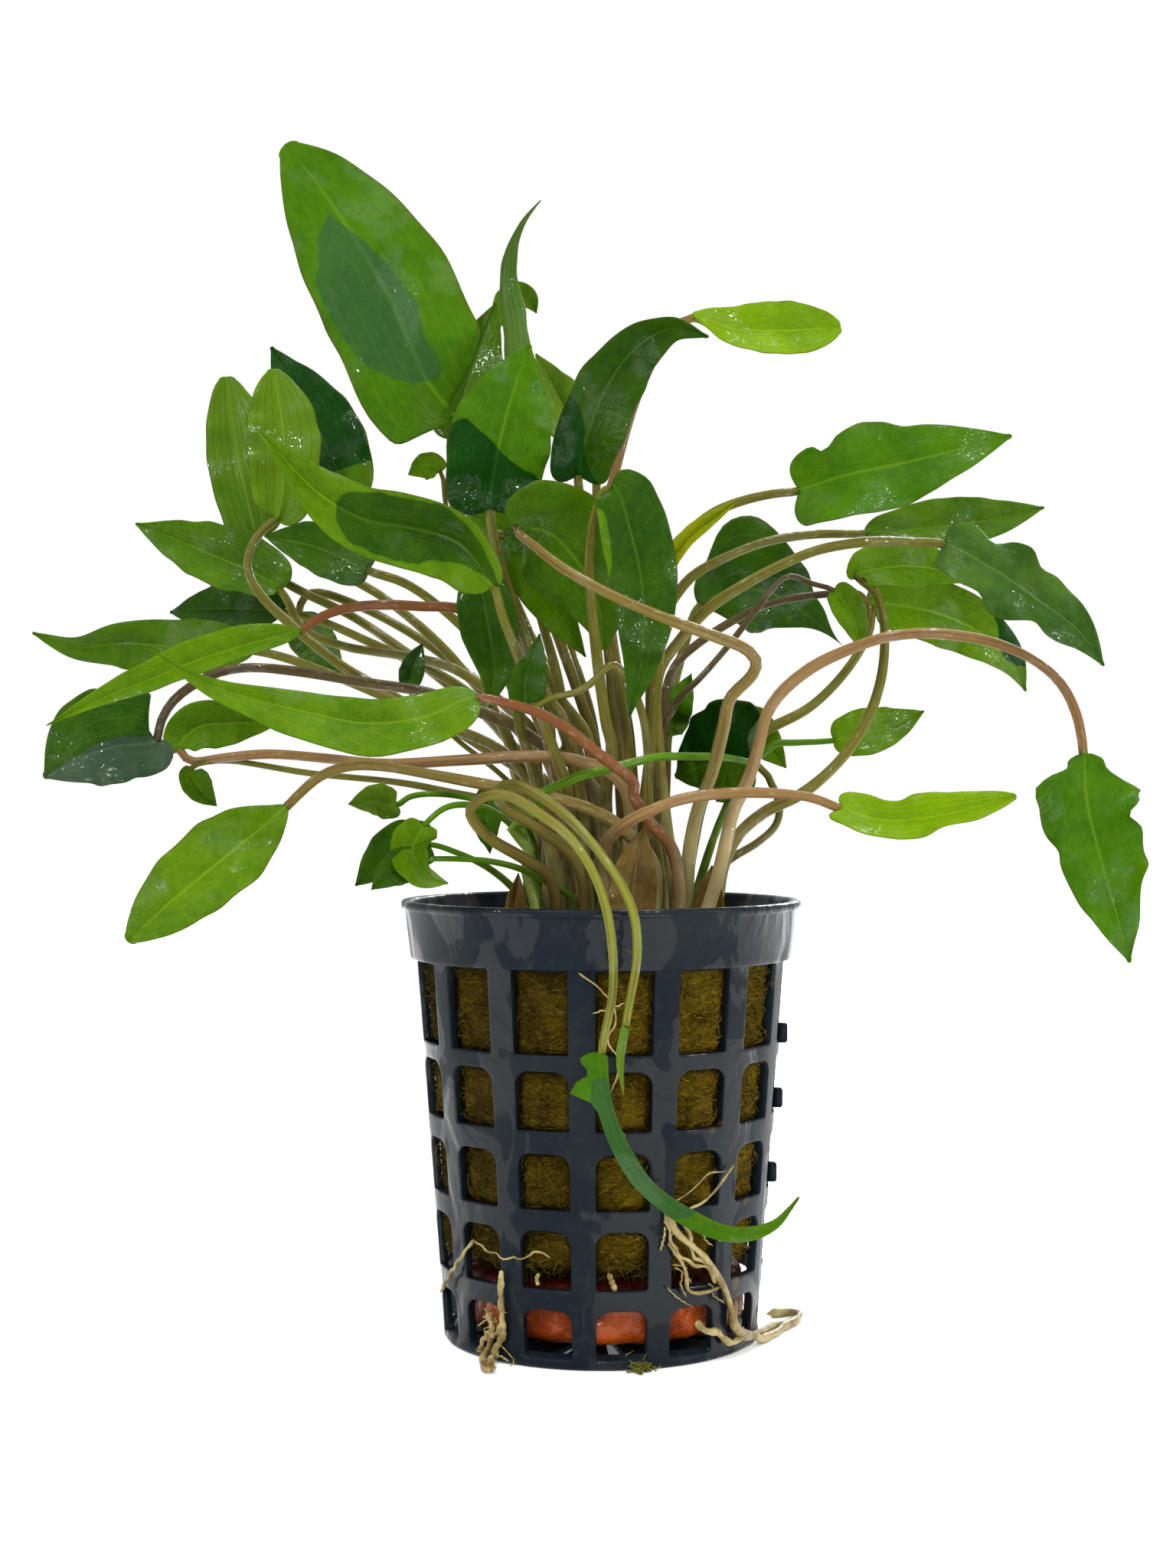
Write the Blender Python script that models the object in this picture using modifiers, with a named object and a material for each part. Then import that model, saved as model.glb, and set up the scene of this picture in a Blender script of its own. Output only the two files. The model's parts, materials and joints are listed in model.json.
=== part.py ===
"""A potted cryptocoryne: a water plant in a net pot with a mineral wool plug, at its real size.

The pot stands on z = 0 with its axis on the z axis, and -Y is its front. A leaf's points are written as the
front view shows them, in millimetres across and up on the upright plane through the pot's axis, with a depth
behind that plane. The function real() moves such a point along the line of sight to its depth, so that it
still covers the same spot in the front view.
"""
import math

import bmesh
import bpy
import numpy as np

MM = 0.001
GAP = 0.3

# The eye of the front view, in millimetres.
EYE = np.array([-1.7, -300.0, 71.6])

# The pot, in millimetres.
POT_HEIGHT = 56.6
LIP_RADIUS = 26.0
LIP_HEIGHT = 0.9
BAND_TOP_RADIUS = 25.6
BAND_LOW_RADIUS = 24.8
BAND_LOW = 48.9
BODY_TOP_RADIUS = 24.0
FOOT_RADIUS = 20.4
FOOT_HEIGHT = 1.2
WALL = 1.1
WINDOW_COLUMNS = 14
WINDOW_SHARE = 0.68
WINDOW_TURN_DEG = 6.75
WINDOW_ROWS = ((1.2, 7.35), (9.9, 17.1), (19.7, 26.6), (29.4, 36.7), (38.7, 48.9))
FLOOR_HUB_RADIUS = 7.0
FLOOR_SLOT_RADIUS = 17.0

# What stands in the pot.
WOOL_LOW = 11.0
WOOL_TOP = 46.4
WOOL_POCKET_RADIUS = 13.6
WOOL_POCKET_FLOOR = 40.0
WEIGHT_LOW = 1.9
WEIGHT_TOP = 10.4
WEIGHT_RADIUS = 18.8
WEIGHT_HOLE_RADIUS = 5.5
CROWN_RADIUS = 12.9
CROWN_TOP = 45.3
STALKS_START = 46.4
STALKS_DISC = 11.6
STALKS_REACH = 19.0

# How a leaf is made.
STALK_RADIUS = 0.95
BLADE_THICKNESS = 0.75
BLADE_ROWS = (0.0, 0.1, 0.24, 0.42, 0.62, 0.8, 0.93)
STALK_KNOTS = 60
BLADE_KNOTS = 20
ACROSS = (-1.0, -0.67, -0.33, 0.0, 0.33, 0.67, 1.0)
BLADE_GAP = 1.45
STALK_GAP = 0.85
SETTLING_ROUNDS = 260
ORDER_KNOTS = 12
FREE_ABOVE_RIM = 12.0
FANNING_ROUNDS = 250
FAN_TOP = 80.0
FAN_REACH = 5.0
FAN_STEP = 0.15
SCALE_KNOTS = 10

# Base colours of the leaves and their stalks.
TONES = {
    "bright": (0.10, 0.33, 0.015),
    "mid": (0.06, 0.24, 0.012),
    "dark": (0.02, 0.12, 0.02),
    "pale": (0.16, 0.33, 0.08),
    "yellow": (0.33, 0.36, 0.05),
    "papery": (0.22, 0.14, 0.05),
}


def leaf(name, slot, stalk, blade, depth, half, roll=(0, 0), fold=20, lobe=0.35, wave=0.0, tone="mid",
         radius=STALK_RADIUS, stalk_depth=None, start_width=0.5, peak=0.3, waves=2.0, fixed=False,
         tip=0.95):
    """One leaf: slot is where its stalk stands in the crown (across, depth), stalk and blade are the points
    of its midline as seen (across, up), and depth is the blade's at its base and tip. half is the blade's
    half width left and right of its midline, and roll turns it about its midline, in degrees. A fixed leaf
    keeps its depth, and the others make way for it. A lower tip value makes the tip blunter."""
    return dict(name="leaf_" + name, slot=slot, stalk=stalk, blade=blade, depth=depth, half=half, roll=roll,
                fold=fold, lobe=lobe, wave=wave, tone=tone, radius=radius, stalk_depth=stalk_depth,
                start_width=start_width, peak=peak, waves=waves, fixed=fixed,
                tip=tip)


LEAVES = [
    # The tall leaves at the top.
    leaf("top_sail", (0.8, -1.6), [(1.5, 56), (1.5, 62), (-1.5, 74), (-8.5, 89), (-14.5, 104), (-17.3, 114)],
         [(-19, 119.2), (-22.7, 124.2), (-27.6, 135.1), (-32.7, 143.7), (-37.5, 150.7), (-41.3, 155.2)],
         (0, -12), (9.2, 8.8), (12, -12), fold=12, lobe=(1.15, 0.15), tone="bright", start_width=0.6,
         peak=0.38, tip=0.8),
    leaf("top_curl", (1.2, 3.9), [(-1, 76), (-7, 95), (-11.5, 110), (-13, 120)],
         [(-12, 122), (-12.4, 130), (-13.1, 136.7), (-12.6, 140.6), (-10.6, 144.8), (-7.9, 147.9)], (9, 12),
         (1.1, 1.6), (45, 60), fold=35, lobe=0.0, tone="pale", start_width=0.8),
    leaf("top_droop", (0.6, 6.7), [(-0.5, 76), (-6, 95), (-11, 112), (-13.2, 126)],
         [(-13.5, 131.5), (-12.3, 134), (-10.8, 135.2), (-9.4, 134.8), (-8.4, 133.1)], (17, 22), (1.9, 1.7),
         (25, 10), lobe=0.1, tone="bright", start_width=0.3),
    leaf("top_behind_sail", (0.4, 1.2), [(-3, 76), (-11, 95), (-17, 110)],
         [(-18.7, 117), (-17, 125), (-13.7, 134.5)], (10, 15), (4.5, 4.5), (-15, 10), tone="mid"),
    leaf("top_bib", (-2, -4.2), [(-4, 72), (-9, 88), (-13, 100)],
         [(-14.5, 107.5), (-13.5, 115), (-11.7, 122), (-9.3, 129.1)], (-11, -15), (6.6, 6.4), (8, -6),
         fold=12, lobe=0.3, tone="mid", start_width=0.7, peak=0.4),
    leaf("top_back", (3.4, 6.6), [(2, 76), (0.5, 95), (-0.5, 108)],
         [(-1, 114), (-4.5, 120), (-8.5, 127.8)], (15, 22), (4, 4), (20, 5), tone="pale"),
    leaf("top_arching", (5.4, -1.6), [(6.5, 56), (5.5, 66), (3.5, 79), (1.5, 89), (-0.5, 98), (-2, 106)],
         [(-3, 112), (-1.5, 118), (1, 124), (5, 129), (9.5, 131.2), (14.1, 130)], (-2, -12), (4.8, 4.6),
         (15, 25), fold=18, lobe=0.6, tone="dark", start_width=0.75),
    leaf("top_right_tongue", (4.2, 3.8), [(4, 72), (1.5, 90), (-0.2, 104), (1.5, 111), (5, 123),
                                      (9.5, 131)],
         [(12, 132.5), (17.5, 131), (24.5, 130.8), (31.3, 131.3)], (8, 16), (3.6, 3.4), (-30, -18),
         tone="bright", lobe=0.3, start_width=0.4),
    leaf("top_small", (-2.4, 1), [(-5, 76), (-13, 94), (-20, 107)],
         [(-21, 112.5), (-22.8, 113.2), (-25.2, 112)], (5, 6), (2.2, 1.8), (10, 10), tone="bright",
         radius=0.5),

    # The leaves of the middle, which hang in front of the stalks.
    leaf("middle_drop", (1.6, -6.8), [(1.5, 72), (-0.5, 88), (-1.5, 102), (0, 109)],
         [(1.5, 110.5), (4, 104), (5.5, 96), (5.3, 88), (3.7, 80.3)], (-19, -25), (4.6, 4.4), (-18, 10),
         fold=24, lobe=0.2, tone="mid", start_width=0.8),
    leaf("middle_front", (7.6, -4.6), [(10.5, 56.5), (11.5, 63), (12.7, 68.5), (14.5, 73), (16, 79), (17, 83),
                                   (19.5, 85.5), (20.3, 87.5), (19, 89.2), (14.5, 91), (8.5, 93.2),
                                   (1.5, 96.2), (-4.5, 99.5), (-8.5, 102.5)],
         [(-11, 104.9), (-7, 104.5), (-3, 100.5), (-0.5, 95.5), (0.5, 89)], (-19, -13), (7, 6.6), (8, -12),
         fold=10, lobe=0.2, tone="bright", start_width=0.7,
         stalk_depth=[-7, -9, -12, -15, -20, -24, -26, -28, -29, -29.5, -29.5, -29, -27, -23]),
    leaf("middle_under", (-5, -4.4), [(-6, 78), (-12, 95), (-14.5, 104)],
         [(-12.5, 104), (-8, 98.5), (-4.8, 92.5), (-2, 88.2)], (-7, -10), (3.6, 3.8), (10, 0), tone="mid"),
    leaf("middle_tongue", (-3.8, -7.2), [(-8, 74), (-14, 90), (-16.6, 97)],
         [(-16, 97.8), (-14.7, 92), (-14, 87), (-14.5, 81.5)], (-10, -17), (3.9, 3.7), (5, -8), fold=16,
         lobe=0.15, tone="dark", start_width=0.7),
    leaf("middle_knob", (4.4, -9.8), [(6.2, 72), (5, 82), (1.5, 87.2), (-1, 85), (-3, 83.7),
                                  (-6.5, 82.8)],
         [(-9.5, 81.5), (-10, 85), (-9, 88.3), (-8, 91.2)], (-19, -23), (2.6, 2.6), (20, 40), tone="dark",
         radius=0.7, lobe=0.15, stalk_depth=[-13, -16, -19, -20, -20, -20]),
    leaf("middle_left", (-9.8, -1.5), [(-5, 80), (-8, 94)],
         [(-9.5, 100), (-13, 104), (-17.7, 107.2)], (-3, 0), (4, 4), (15, 15), tone="mid"),
    leaf("middle_small", (6.4, 1.2), [(8.6, 70)],
         [(9, 78), (10.2, 82), (11.8, 86)], (6, 9), (2.2, 2.0), (20, 0), tone="mid", radius=0.6),

    # The leaves on the left.
    leaf("left_back_tall", (-4.8, 9.5), [(-3, 65), (-13.5, 79), (-20.5, 85), (-26.5, 89.5),
                                     (-32.5, 93.5), (-40.5, 97.5), (-44, 100)],
         [(-45, 104), (-47.3, 114), (-49, 124.8)], (30, 38), (5.0, 4.6), (-10, 10), tone="mid", fold=12),
    leaf("left_pale", (-8.8, 4), [(-8.5, 71), (-16.5, 77), (-24.5, 81.5), (-30.5, 85),
                                (-34.5, 87.5), (-41, 92.8), (-45, 97), (-46.2, 100), (-45.7, 102.5),
                                (-44, 105)],
         [(-42.5, 106.2), (-41.5, 116), (-42.8, 125.8)], (14, 20), (5.2, 5.0), (5, 12), tone="pale",
         fold=16, lobe=0.15, start_width=0.35, peak=0.45),
    leaf("left_dark_back", (-6.8, 6.8), [(-10, 75), (-18.5, 87), (-24, 92.5), (-28.5, 96),
                                     (-34.5, 100.2), (-35, 105)],
         [(-33.5, 108.5), (-37, 118), (-43.1, 128.7)], (24, 34), (6, 6.2), (-12, 8), tone="dark", fold=14),
    leaf("left_flag", (-4, 6.6), [(-8, 76), (-18, 86), (-24, 88), (-34, 89.7), (-39, 92)],
         [(-42, 97), (-51.5, 101.8), (-60.8, 105.6)], (22, 34), (5.0, 4.6), (25, 20), tone="mid"),
    leaf("left_flag_low", (-6, 3.8), [(-8, 74), (-18, 84), (-30, 90), (-37, 93)],
         [(-41.5, 94), (-49, 94.5), (-56.3, 94)], (28, 42), (4.2, 4.0), (30, 20), tone="dark"),
    leaf("left_far", (-8, 1), [(-10, 73), (-22, 80), (-33, 85), (-41, 88)],
         [(-45.5, 89), (-55.5, 89.5), (-62.5, 90), (-68.5, 89.5), (-74.3, 91.4)], (9, 18), (3.8, 3.6),
         (20, -35), tone="mid", wave=0.25),
    leaf("left_long", (-7.8, -4.4), [(-5, 70), (-9, 82), (-13, 90), (-18, 94.3), (-23.5, 94.8),
                                 (-28.5, 95), (-33.5, 94.5), (-37, 93.2)],
         [(-39.3, 91.5), (-45.5, 90), (-52.5, 87.8), (-59.5, 85), (-66.5, 82.2), (-72.5, 79.2)],
         (-15, -26), (3.0, 3.2), (30, 15), tone="bright", fold=26, lobe=0.25),
    leaf("left_tilted", (-1.2, -6.8), [(-5, 72), (-10, 86), (-13, 94)],
         [(-14, 97.5), (-18.5, 103), (-24.5, 105), (-30.5, 106), (-35.5, 108.5), (-40, 112.5),
          (-44.7, 117.8)],
         (-21, -25), (4.6, 4.6), (-30, 25), tone="dark", fold=30, lobe=0.2, start_width=0.6),
    leaf("left_hanging_back", (-1.6, 9.6), [(-8, 76), (-20, 88), (-32, 95), (-38, 96.5)],
         [(-39.5, 94), (-37, 89.5), (-33.5, 84.8)], (32, 40), (3.6, 3.4), (0, 20), tone="mid"),
    leaf("left_shadow", (-5.2, 1), [(-6, 76), (-16, 90), (-25, 97.5)],
         [(-30.5, 99.5), (-37, 102.5), (-44, 104)], (6, 9), (4, 4), (10, 10), tone="dark"),
    leaf("left_broad", (-4.2, -1.6), [(1, 66), (-2.5, 73), (-8.5, 78), (-14.5, 80.5), (-22.5, 83.5),
                                  (-30.5, 84.8), (-35.5, 85.7), (-40.5, 86.4), (-45.5, 86.8),
                                  (-49.5, 86.3), (-53, 84.7), (-56, 82.3), (-57.6, 79.5)],
         [(-58, 77.3), (-63, 76.5), (-68, 75), (-72.8, 72.4)], (-4, -12), (4.8, 7.6), (12, 8),
         tone="mid", fold=10, start_width=0.7, peak=0.45),
    leaf("left_folded", (5.2, -4), [(1.5, 72.4), (-2.5, 74.5), (-8.5, 75.2), (-18.5, 74.7),
                                    (-28.5, 74.2), (-36.5, 75), (-43.5, 75.5), (-49.5, 75),
                                    (-53.5, 74.6)],
         [(-55, 76), (-53, 78.8), (-48, 79.6), (-42, 79.5)], (4, 9), (3.2, 3.6), (-20, 10), tone="mid",
         stalk_depth=[-11, -12, -12, -11, -8, -5, -2, 1, 3]),
    leaf("left_low_front", (4.8, -6.6), [(8.3, 59), (6.5, 62.8), (2.5, 66.2), (-2.5, 68.7), (-8.5, 70.4),
                                      (-15.5, 71.6), (-22.5, 72.9), (-28.5, 73.9), (-33, 73.9),
                                      (-36.5, 72.7), (-39.3, 70.4)],
         [(-41.3, 68.4), (-48.5, 62.5), (-55.5, 56.8), (-61.9, 51)], (-17, -28), (5.3, 5.2), (20, 5),
         tone="bright", fold=16, lobe=0.35, wave=0.1,
         stalk_depth=[-10, -12, -13, -14, -15, -15, -15, -15, -15, -15, -16]),
    leaf("left_front", (7.3, -8.9), [(8.7, 56), (8, 62), (6, 67), (3, 72), (-0.5, 75.5), (-4, 78.5),
                                 (-8.5, 81), (-12.5, 82.2)],
         [(-16.3, 82.8), (-22.5, 80.5), (-30.5, 79.5), (-38.5, 81), (-46.5, 83), (-52.5, 85.2),
          (-59, 89.3)], (-29, -34), (4.9, 4.7), (28, 10), tone="bright", fold=16, lobe=0.3,
         start_width=0.75, stalk_depth=[-9, -12, -17, -21, -24, -26, -28, -29]),
    leaf("left_dot", (-3.3, 3), [(-9, 68), (-18, 77), (-24, 82)],
         [(-25, 84.2), (-24.5, 87), (-23.3, 90)], (7, 9), (1.9, 1.7), (10, 0), tone="dark", radius=0.5),

    # The leaves on the right.
    leaf("right_wing", (8.2, -1.6), [(6.5, 76), (6.8, 90), (8, 98), (9.5, 102.5), (12, 105),
                                 (15, 107.2), (18.5, 108.6), (22.5, 109.5)],
         [(26, 109.9), (31.5, 111.8), (41.5, 114), (53.7, 117.1)], (-6, -18), (5.2, 5.8), (-25, -12),
         tone="bright", fold=12, lobe=0.45, wave=0.12, start_width=0.65),
    leaf("right_young", (3, -4.1), [(6.5, 76), (7.6, 88)],
         [(8.3, 94), (8.5, 99), (11, 103.5), (18, 108.8)], (-11, -12), (1.5, 1.5), (0, 0), tone="yellow",
         fold=45, lobe=0.0, start_width=0.5, peak=0.6),
    leaf("right_back_slab", (3.8, 9.4), [(7, 70), (9, 82), (11, 90)],
         [(13, 95), (20, 97), (26.5, 94), (32.3, 89)], (24, 36), (9.0, 6.4), (-8, 0), tone="dark",
         fold=8, start_width=0.7, peak=0.4),
    leaf("right_behind_wing", (6.4, 6.8), [(7, 76), (7.3, 88), (8.5, 94), (10, 96.5), (12, 98.8),
                                       (16.5, 101.3), (21.5, 103.2), (27.5, 104.2)],
         [(34.5, 104.3), (42.5, 105), (50.5, 106), (57.9, 107.7)], (12, 22), (3.4, 3.2), (-30, -12),
         tone="mid", lobe=0.2, start_width=0.3, peak=0.45),
    leaf("right_bluish", (10.8, -3.4), [(7.5, 74), (7.5, 86), (10, 90), (14, 94.5), (18.5, 97.5),
                                    (23.5, 100.2), (28.5, 102.2), (34.5, 103.2), (40.5, 103.2)],
         [(45, 102.8), (51.5, 99.5), (58, 95), (62.5, 91.5), (65.7, 87)], (-14, -24), (4.2, 5.0),
         (-18, -5), tone="dark", wave=0.28, waves=2.5),
    leaf("right_looped", (11.4, -0.6), [(15, 56), (16, 61), (18, 65), (21.5, 68), (26.5, 70.5), (31.5, 75),
                                   (35, 80.5), (36.7, 86), (37, 92), (36.3, 95.5), (35, 97.5)],
         [(33.5, 98.6), (38.5, 100), (44.5, 99.5), (48.5, 98)], (5, 12), (3.6, 3.4), (-20, -10),
         tone="bright", wave=0.15),
    leaf("right_crossing", (8.6, 4.2), [(11, 57), (12, 64), (13.5, 70), (16.5, 75), (21.5, 78.5),
                                    (27.5, 81.8), (32.5, 87), (35, 91.5)],
         [(35.8, 94.6), (41.5, 94.5), (48.5, 92), (53.5, 88), (55.5, 83.7)], (16, 24), (4.6, 4.8),
         (-12, 8), tone="mid", wave=0.15, lobe=0.5),
    leaf("right_small_lobe", (9.6, 1.4), [(8, 75.5), (8.3, 79), (10, 82.5), (13, 85.5),
                                       (16.5, 89.5), (20, 94), (23, 97.8), (24.5, 98.8), (27.5, 97.8)],
         [(30.5, 96.8), (33, 93), (34, 89)], (2, 0), (2.4, 2.2), (-10, 10), tone="bright", radius=0.6),
    leaf("right_hanging", (11.4, -5.2), [(14.5, 57), (17.5, 69), (20, 77), (21.5, 80.5), (23.5, 83.5),
                                    (27.5, 86.8), (31.5, 88.8), (36.5, 90.6), (41.5, 91.3), (46.5, 91),
                                    (51.5, 90), (56.5, 87.8), (60, 84.8), (62, 81), (62.8, 77.5)],
         [(63, 75.5), (63.5, 69), (65.5, 61), (67.5, 54), (69.1, 48.2)], (-16, -22), (6.2, 6.0),
         (-15, 12), tone="bright", fold=14, lobe=0.3, wave=0.34, waves=3.0, start_width=0.7),
    leaf("right_low_tongue", (1.2, -9.6), [(0.5, 63.5), (2.5, 65.8), (5.5, 67.8), (10.5, 69.6),
                                         (16.5, 70.4), (22.5, 70.4), (27.5, 69.8)],
         [(31.5, 68.3), (37.5, 66.8), (44.5, 67.5), (54.3, 70)], (-21, -31), (2.6, 2.8), (-35, -20),
         tone="bright", lobe=0.9, start_width=0.7, wave=0.1,
         stalk_depth=[-16, -19, -20, -21, -21, -21, -21]),
    leaf("right_oval", (9.2, 6.8), [(17, 70), (21.5, 76.5), (25.5, 77), (28, 77.1)],
         [(30.5, 77.3), (34.5, 78), (38.5, 79.3), (42.2, 81.1)], (10, 14), (3.6, 3.2), (-12, -12),
         tone="mid", radius=0.7),
    leaf("right_turned", (-8.2, -8.2), [(-8.5, 62), (-9.5, 66), (-8.5, 70), (-3.5, 72.2), (1.5, 73.5),
                                    (6.5, 75), (11.5, 75.2), (17.5, 75)],
         [(20, 74.2), (17, 74.6), (13.5, 74), (9.7, 72.5)], (-3, 9), (5.6, 8.2), (0, 10), tone="dark",
         radius=0.75, fold=10, start_width=0.7,
         stalk_depth=[-13, -17, -22, -23, -22, -19, -15, -9.5]),
    leaf("right_behind_turned", (11, 4), [(14.5, 59), (16.5, 61.5), (20.5, 64), (22.8, 66.2),
                                           (23.3, 68.5), (22.3, 71.5), (20, 74.2), (18.5, 78)],
         [(17.5, 81), (20.5, 78), (24.2, 73.7)], (10, 14), (3.2, 3.0), (0, 0), tone="bright",
         radius=0.7),

    # The leaves low on the left.
    leaf("low_point", (-10.8, -4), [(-10, 65), (-15.5, 69.2), (-18.5, 70), (-22.5, 70.3),
                                  (-25, 69.9)],
         [(-26.8, 68.8), (-29.8, 69.3), (-33, 69)], (-9, -12), (2.2, 2.2), (25, 10), tone="pale",
         radius=0.6),
    leaf("low_bright", (-6.4, -7), [(-10, 64), (-14.5, 68.2), (-18.5, 68.9), (-20.5, 68.4),
                                  (-22, 67.3)],
         [(-23.2, 66), (-24.5, 63), (-23, 60), (-20, 58.6)], (-17, -25), (2.8, 2.9), (10, 30),
         tone="bright", radius=0.6),
    leaf("low_dark", (-9.5, -6.5), [(-9.8, 55.7), (-11.5, 58), (-14.5, 60.5), (-18.5, 62.5)],
         [(-22.5, 63.7), (-26, 63), (-29, 61), (-32.1, 58.3)], (-12, -16), (3.6, 3.6), (10, 10),
         tone="dark", radius=0.6),
    leaf("low_small", (-7, -1.8), [(-9, 64), (-12.5, 69.5)],
         [(-14, 70.6), (-14.9, 67), (-14.5, 62.5)], (-6, -8), (2.1, 2.1), (10, 0), tone="mid",
         radius=0.55),

    # Two stalks that loop to the left and hang over the pot's rim.
    leaf("over_rim_outer", (-5.5, -10), [(-6.5, 59), (-9.5, 61.5), (-14.5, 64.5), (-16.8, 67), (-17, 68.5),
                                       (-15, 70), (-12, 70), (-8.5, 68), (-4.5, 65), (-1.5, 61),
                                       (0.5, 56), (1.5, 50), (1.5, 44), (0.5, 39)],
         [(0.1, 36.5), (0.3, 31), (2.2, 25), (6, 19), (11.5, 15), (17.5, 12.8), (22.5, 14),
          (25.9, 17.7)], (-29.6, -26), (1.9, 1.9), (72, 66), tone="bright", radius=1.0, fold=28,
         lobe=0.9, wave=0.15, fixed=True,
         stalk_depth=[-13, -16, -21, -24, -25.5, -27, -28, -28.5, -29, -29.6, -30.4, -30.8, -30.6,
                      -30]),
    leaf("over_rim_inner", (-2, -11.5), [(-3, 61), (-8.5, 66), (-13, 69), (-13.2, 71.2), (-11.5, 71.6),
                                         (-8.5, 70.3), (-4.5, 67.4), (-0.5, 63), (2.9, 58), (4.4, 54),
                                         (4.7, 49), (3.9, 44)],
         [(3.2, 40), (2.6, 35.5), (2.9, 31)], (-32.4, -33.5), (0.8, 0.8), (40, 40), tone="pale",
         radius=1.0, lobe=0.2, fixed=True,
         stalk_depth=[-14, -17, -20, -22, -23, -24.5, -26.5, -28.5, -30.2, -31, -31.5, -32]),
]


def sheath(name, slot, blade, depth, half, roll):
    """A papery scale at the foot of the stalks."""
    made = leaf("sheath", slot, [], blade, depth, half, roll, fold=30, lobe=0.0, tone="papery",
                radius=1.0, start_width=0.75, peak=0.45, fixed=True)
    made["name"] = name
    return made


SHEATHS = [
    sheath("sheath_front", (5, -12), [(4.2, 52), (4.2, 58), (5.6, 66)], (-13.5, -15), (3.4, 3.4), (0, 0)),
    sheath("sheath_left", (-11, -8.5), [(-10.4, 50), (-11.2, 55), (-10.8, 60)], (-10, -10.5), (1.8, 1.8),
           (10, 10)),
    sheath("sheath_right", (13, -4), [(13.2, 50), (14.2, 55), (14.5, 61)], (-5, -5), (2.4, 2.4),
           (-10, -10)),
]


def real(points):
    """Points across, up and deep in the front view, as x, y, z."""
    points = np.asarray(points, float)
    on_plane = np.stack([points[..., 0], np.zeros(points.shape[:-1]), points[..., 1]], -1)
    return EYE + (on_plane - EYE) * (1 + points[..., 2:3] / -EYE[1])


def viewed(places):
    """Points x, y, z, as across, up and deep in the front view."""
    places = np.asarray(places, float)
    on_plane = EYE + (places - EYE) / (1 + places[..., 1:2] / -EYE[1])
    return np.stack([on_plane[..., 0], on_plane[..., 2], places[..., 1]], -1)


def smooth_through(points, steps=10):
    """A smooth curve through the points, with tangents weighted for uneven spacing."""
    points = np.asarray(points, float)
    gaps = np.linalg.norm(np.diff(points, axis=0), axis=1) ** 0.5
    slopes = np.diff(points, axis=0) / gaps[:, None]
    before, after = gaps[:-1, None], gaps[1:, None]
    inner = (slopes[:-1] * after + slopes[1:] * before) / (before + after)
    tangents = np.vstack([slopes[:1], inner, slopes[-1:]])
    curve = []
    for i, gap in enumerate(gaps):
        t = np.linspace(0, 1, steps, endpoint=False)[:, None]
        curve.append((2 * t**3 - 3 * t**2 + 1) * points[i] + (t**3 - 2 * t**2 + t) * gap * tangents[i]
                     + (3 * t**2 - 2 * t**3) * points[i + 1] + (t**3 - t**2) * gap * tangents[i + 1])
    return np.vstack(curve + [points[-1:]])


def evenly(curve, count):
    """The curve's points again, count of them, evenly spaced along it."""
    lengths = np.concatenate([[0], np.cumsum(np.linalg.norm(np.diff(curve, axis=0), axis=1))])
    wanted = np.linspace(0, lengths[-1], count)
    return np.stack([np.interp(wanted, lengths, curve[:, k]) for k in range(3)], -1)


def stalk_length(leaf_row):
    return float(np.linalg.norm(np.diff(leaf_row["path"][:STALK_KNOTS], axis=0), axis=1).sum())


def spread_slots(rows):
    """Pushes the feet of the stalks apart on the crown."""
    feet = np.array([row["slot"] for row in rows], float)
    room = np.array([row["radius"] * 1.15 for row in rows])
    for _ in range(400):
        for i in range(len(feet)):
            away = feet[i] - feet
            distance = np.linalg.norm(away, axis=1)
            distance[i] = 99
            need = room[i] + room + GAP + 0.15
            close = np.maximum(need - distance, 0)
            feet[i] += 0.4 * (away / np.maximum(distance, 0.05)[:, None] * close[:, None]).sum(0)
            reach = np.linalg.norm(feet[i])
            feet[i] *= min(1.0, STALKS_DISC / max(reach, 0.01))
    for row, foot in zip(rows, feet):
        row["foot"] = foot


def lay_path(row):
    """The leaf's midline as seen: STALK_KNOTS points up the stalk, then BLADE_KNOTS along the blade."""
    foot = viewed([row["foot"][0], row["foot"][1], STALKS_START])
    blade = np.array(row["blade"], float)
    along = np.linspace(0, 1, len(blade))
    deep = row["depth"][0] + (row["depth"][1] - row["depth"][0]) * along
    blade = np.column_stack([blade, deep])
    stalk = np.array(row["stalk"], float).reshape(-1, 2)
    if len(stalk):
        if row["stalk_depth"]:
            deep = np.array(row["stalk_depth"], float)
        else:
            reach = np.vstack([foot[:2], stalk, blade[0, :2]])
            lengths = np.cumsum(np.linalg.norm(np.diff(reach, axis=0), axis=1))
            share = lengths[:-1] / lengths[-1]
            deep = foot[2] + (blade[0, 2] - foot[2]) * share**1.3
        stalk = np.column_stack([stalk, deep])
    points = np.vstack([foot[None], stalk, blade]) if len(stalk) else np.vstack([foot[None], blade])
    steps = 10
    curve = smooth_through(points, steps)
    blade_from = steps * (len(points) - len(blade))
    row["path"] = np.vstack([evenly(curve[:blade_from + 1], STALK_KNOTS),
                             evenly(curve[blade_from:], BLADE_KNOTS + 1)[1:]])


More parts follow.
